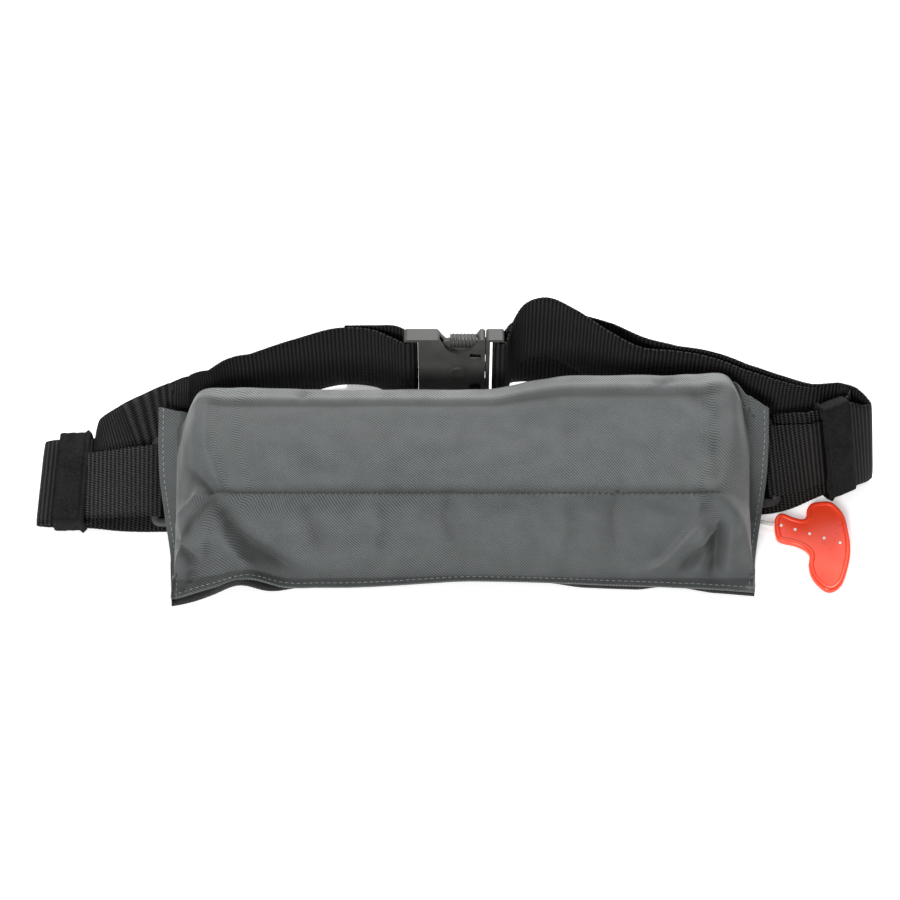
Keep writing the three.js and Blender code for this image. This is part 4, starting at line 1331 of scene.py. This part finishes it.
def rib_block(name, x0, x1, z0, z1, y_front, ribs):
    """A pressing surface with raised ribs across it."""
    vertices, faces = [], []
    y_back = y_front + press_depth
    steps = ribs * 6
    for k in range(steps + 1):
        x = x0 + (x1 - x0) * k / steps
        wave = press_rib_height * math.cos(2 * math.pi * ribs * k / steps)
        for y, z in ((y_front - wave, z0), (y_front - wave, z1), (y_back, z1), (y_back, z0)):
            vertices.append(Vector((x, y, z + (wave if z == z1 else 0))))
    for k in range(steps):
        for side in range(4):
            a, b = 4 * k + side, 4 * k + (side + 1) % 4
            faces.append((a, b, b + 4, a + 4))
    faces.append((3, 2, 1, 0))
    faces.append(tuple(4 * steps + k for k in range(4)))
    return mesh_object(name, vertices, faces, None, black_plastic)


# name, low and high edge of each pressing surface
press_arms = [("upper_press_arm", 49.5, 54.6), ("lower_press_arm", 5.4, 10.5)]
for press_name, press_low, press_high in press_arms:
    press = rib_block(press_name, -press_half_length, press_half_length, press_low, press_high, press_front,
                      press_ribs)
    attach(press, "root")


# Pull tab: one glossy orange-red moulding 3.6 mm thick, with a raised rim, a panel sunk below the rim and
# five white dots of moulding marks in line with the cord.
tab_reach = 42
tab_span = 52
tab_thickness = 3.6
tab_sunk = 0.6
tab_place = Vector((156.6, -14.15, clear))
tab_angle = math.radians(-19.6)
tab_curve_steps = 6
dot_places = (3.8, 11, 18.5, 26, 34.3)
dot_level = tab_thickness - tab_sunk
dot_radius = 0.75
dot_height = 0.35
dot_sides = 20
# along the stem as shares of the reach, across it as shares of the span
tab_outline = [
    (0, 0.02), (0.01, 0.11), (0.08, 0.14), (0.2, 0.13), (0.31, 0.14), (0.34, 0.19), (0.32, 0.26),
    (0.35, 0.34), (0.44, 0.39), (0.56, 0.42), (0.66, 0.39), (0.77, 0.31), (0.87, 0.15), (0.94, 0.01),
    (0.98, -0.14), (0.99, -0.3), (0.98, -0.43), (0.92, -0.52), (0.83, -0.55), (0.71, -0.51), (0.61, -0.44),
    (0.54, -0.33), (0.52, -0.23), (0.45, -0.18), (0.31, -0.16), (0.17, -0.17), (0.08, -0.14),
]


def red_material():
    material, nodes, links, shader = make_material("red_plastic", 0.3)
    coordinates = nodes.new("ShaderNodeTexCoord")
    cloud = noise_texture(nodes, links, 60, coordinates.outputs["Object"])
    ramp = colour_ramp(nodes, (0.85, 0.042, 0.01), (0.95, 0.066, 0.018))
    paint(links, cloud.outputs["Fac"], ramp, shader)
    skin = noise_texture(nodes, links, 500, coordinates.outputs["Object"])
    rough = math_node(nodes, links, "MULTIPLY_ADD", cloud.outputs["Fac"], 0.2, 0.2)
    links.new(rough, shader.inputs["Roughness"])
    bump(nodes, links, shader, skin.outputs["Fac"], 0.1, 0.0001)
    return material


def tab_frame(along, across, up):
    turned = Matrix.Rotation(tab_angle, 3, "Z") @ Vector((along, across, 0))
    return tab_place + turned + Vector((0, 0, up))


def closed_curve(points, steps):
    count = len(points)
    line = []
    for index in range(count):
        before, a = points[index - 1], points[index]
        b, after = points[(index + 1) % count], points[(index + 2) % count]
        line.extend(curve_point(before, a, b, after, step / steps) for step in range(steps))
    return line


def inner_line(line, distance):
    """The outline moved inward, each point square to its neighbours."""
    result = []
    count = len(line)
    for index, point in enumerate(line):
        way = (line[(index + 1) % count] - line[index - 1]).normalized()
        result.append(point - Vector((-way.y, way.x)) * distance)
    return result


def pull_tab():
    corners = [Vector((along * tab_reach, across * tab_span)) for along, across in tab_outline]
    outline = closed_curve(corners, tab_curve_steps)
    area = sum(a.x * b.y - b.x * a.y for a, b in zip(outline, outline[1:] + outline[:1])) / 2
    hand = -1 if area > 0 else 1
    # inset from the outline, height above the underside
    below = [(0.9, 0), (0.2, 0.35), (0, 0.9)]
    # inset from the outline, drop below the rim
    above = [(0, 0.9), (0.25, 0.3), (0.8, 0), (1.9, 0), (2.3, 0.25), (2.6, tab_sunk)]
    steps = below + [(inset, tab_thickness - drop) for inset, drop in above]
    vertices, faces = [], []
    count = len(outline)
    for inset, up in steps:
        for point in inner_line(outline, hand * inset):
            vertices.append(tab_frame(point.x, point.y, up))
    for row in range(len(steps) - 1):
        for k in range(count):
            a, b = row * count + k, row * count + (k + 1) % count
            faces.append((a, b, b + count, a + count) if hand < 0 else (a, a + count, b + count, b))
    faces.append(tuple(range(count - 1, -1, -1)) if hand < 0 else tuple(range(count)))
    last = (len(steps) - 1) * count
    top = tuple(last + k for k in range(count))
    faces.append(top if hand < 0 else top[::-1])
    item = mesh_object("pull_tab_moulding", vertices, faces, None, red_material())
    item.data.polygons[-1].use_smooth = False
    item.data.polygons[-2].use_smooth = False
    return item


tab = pull_tab()
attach(tab, "root")
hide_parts("pull_tab")

dot_white = thread_material("white_marks", (0.7, 0.7, 0.68), (0.9, 0.9, 0.88))
for dot_number, dot_along in enumerate(dot_places):
    dot_place = tab_frame(dot_along, 0, dot_level)
    dot = disc(f"tab_dot_{dot_number + 1}", Vector((0, 0, 0)), dot_radius, dot_height, dot_sides, dot_white)
    dot.data.transform(Matrix.Translation(dot_place * mm) @ Matrix.Rotation(-math.pi / 2, 4, "X"))
    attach(dot, "root")
    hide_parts("pull_tab")
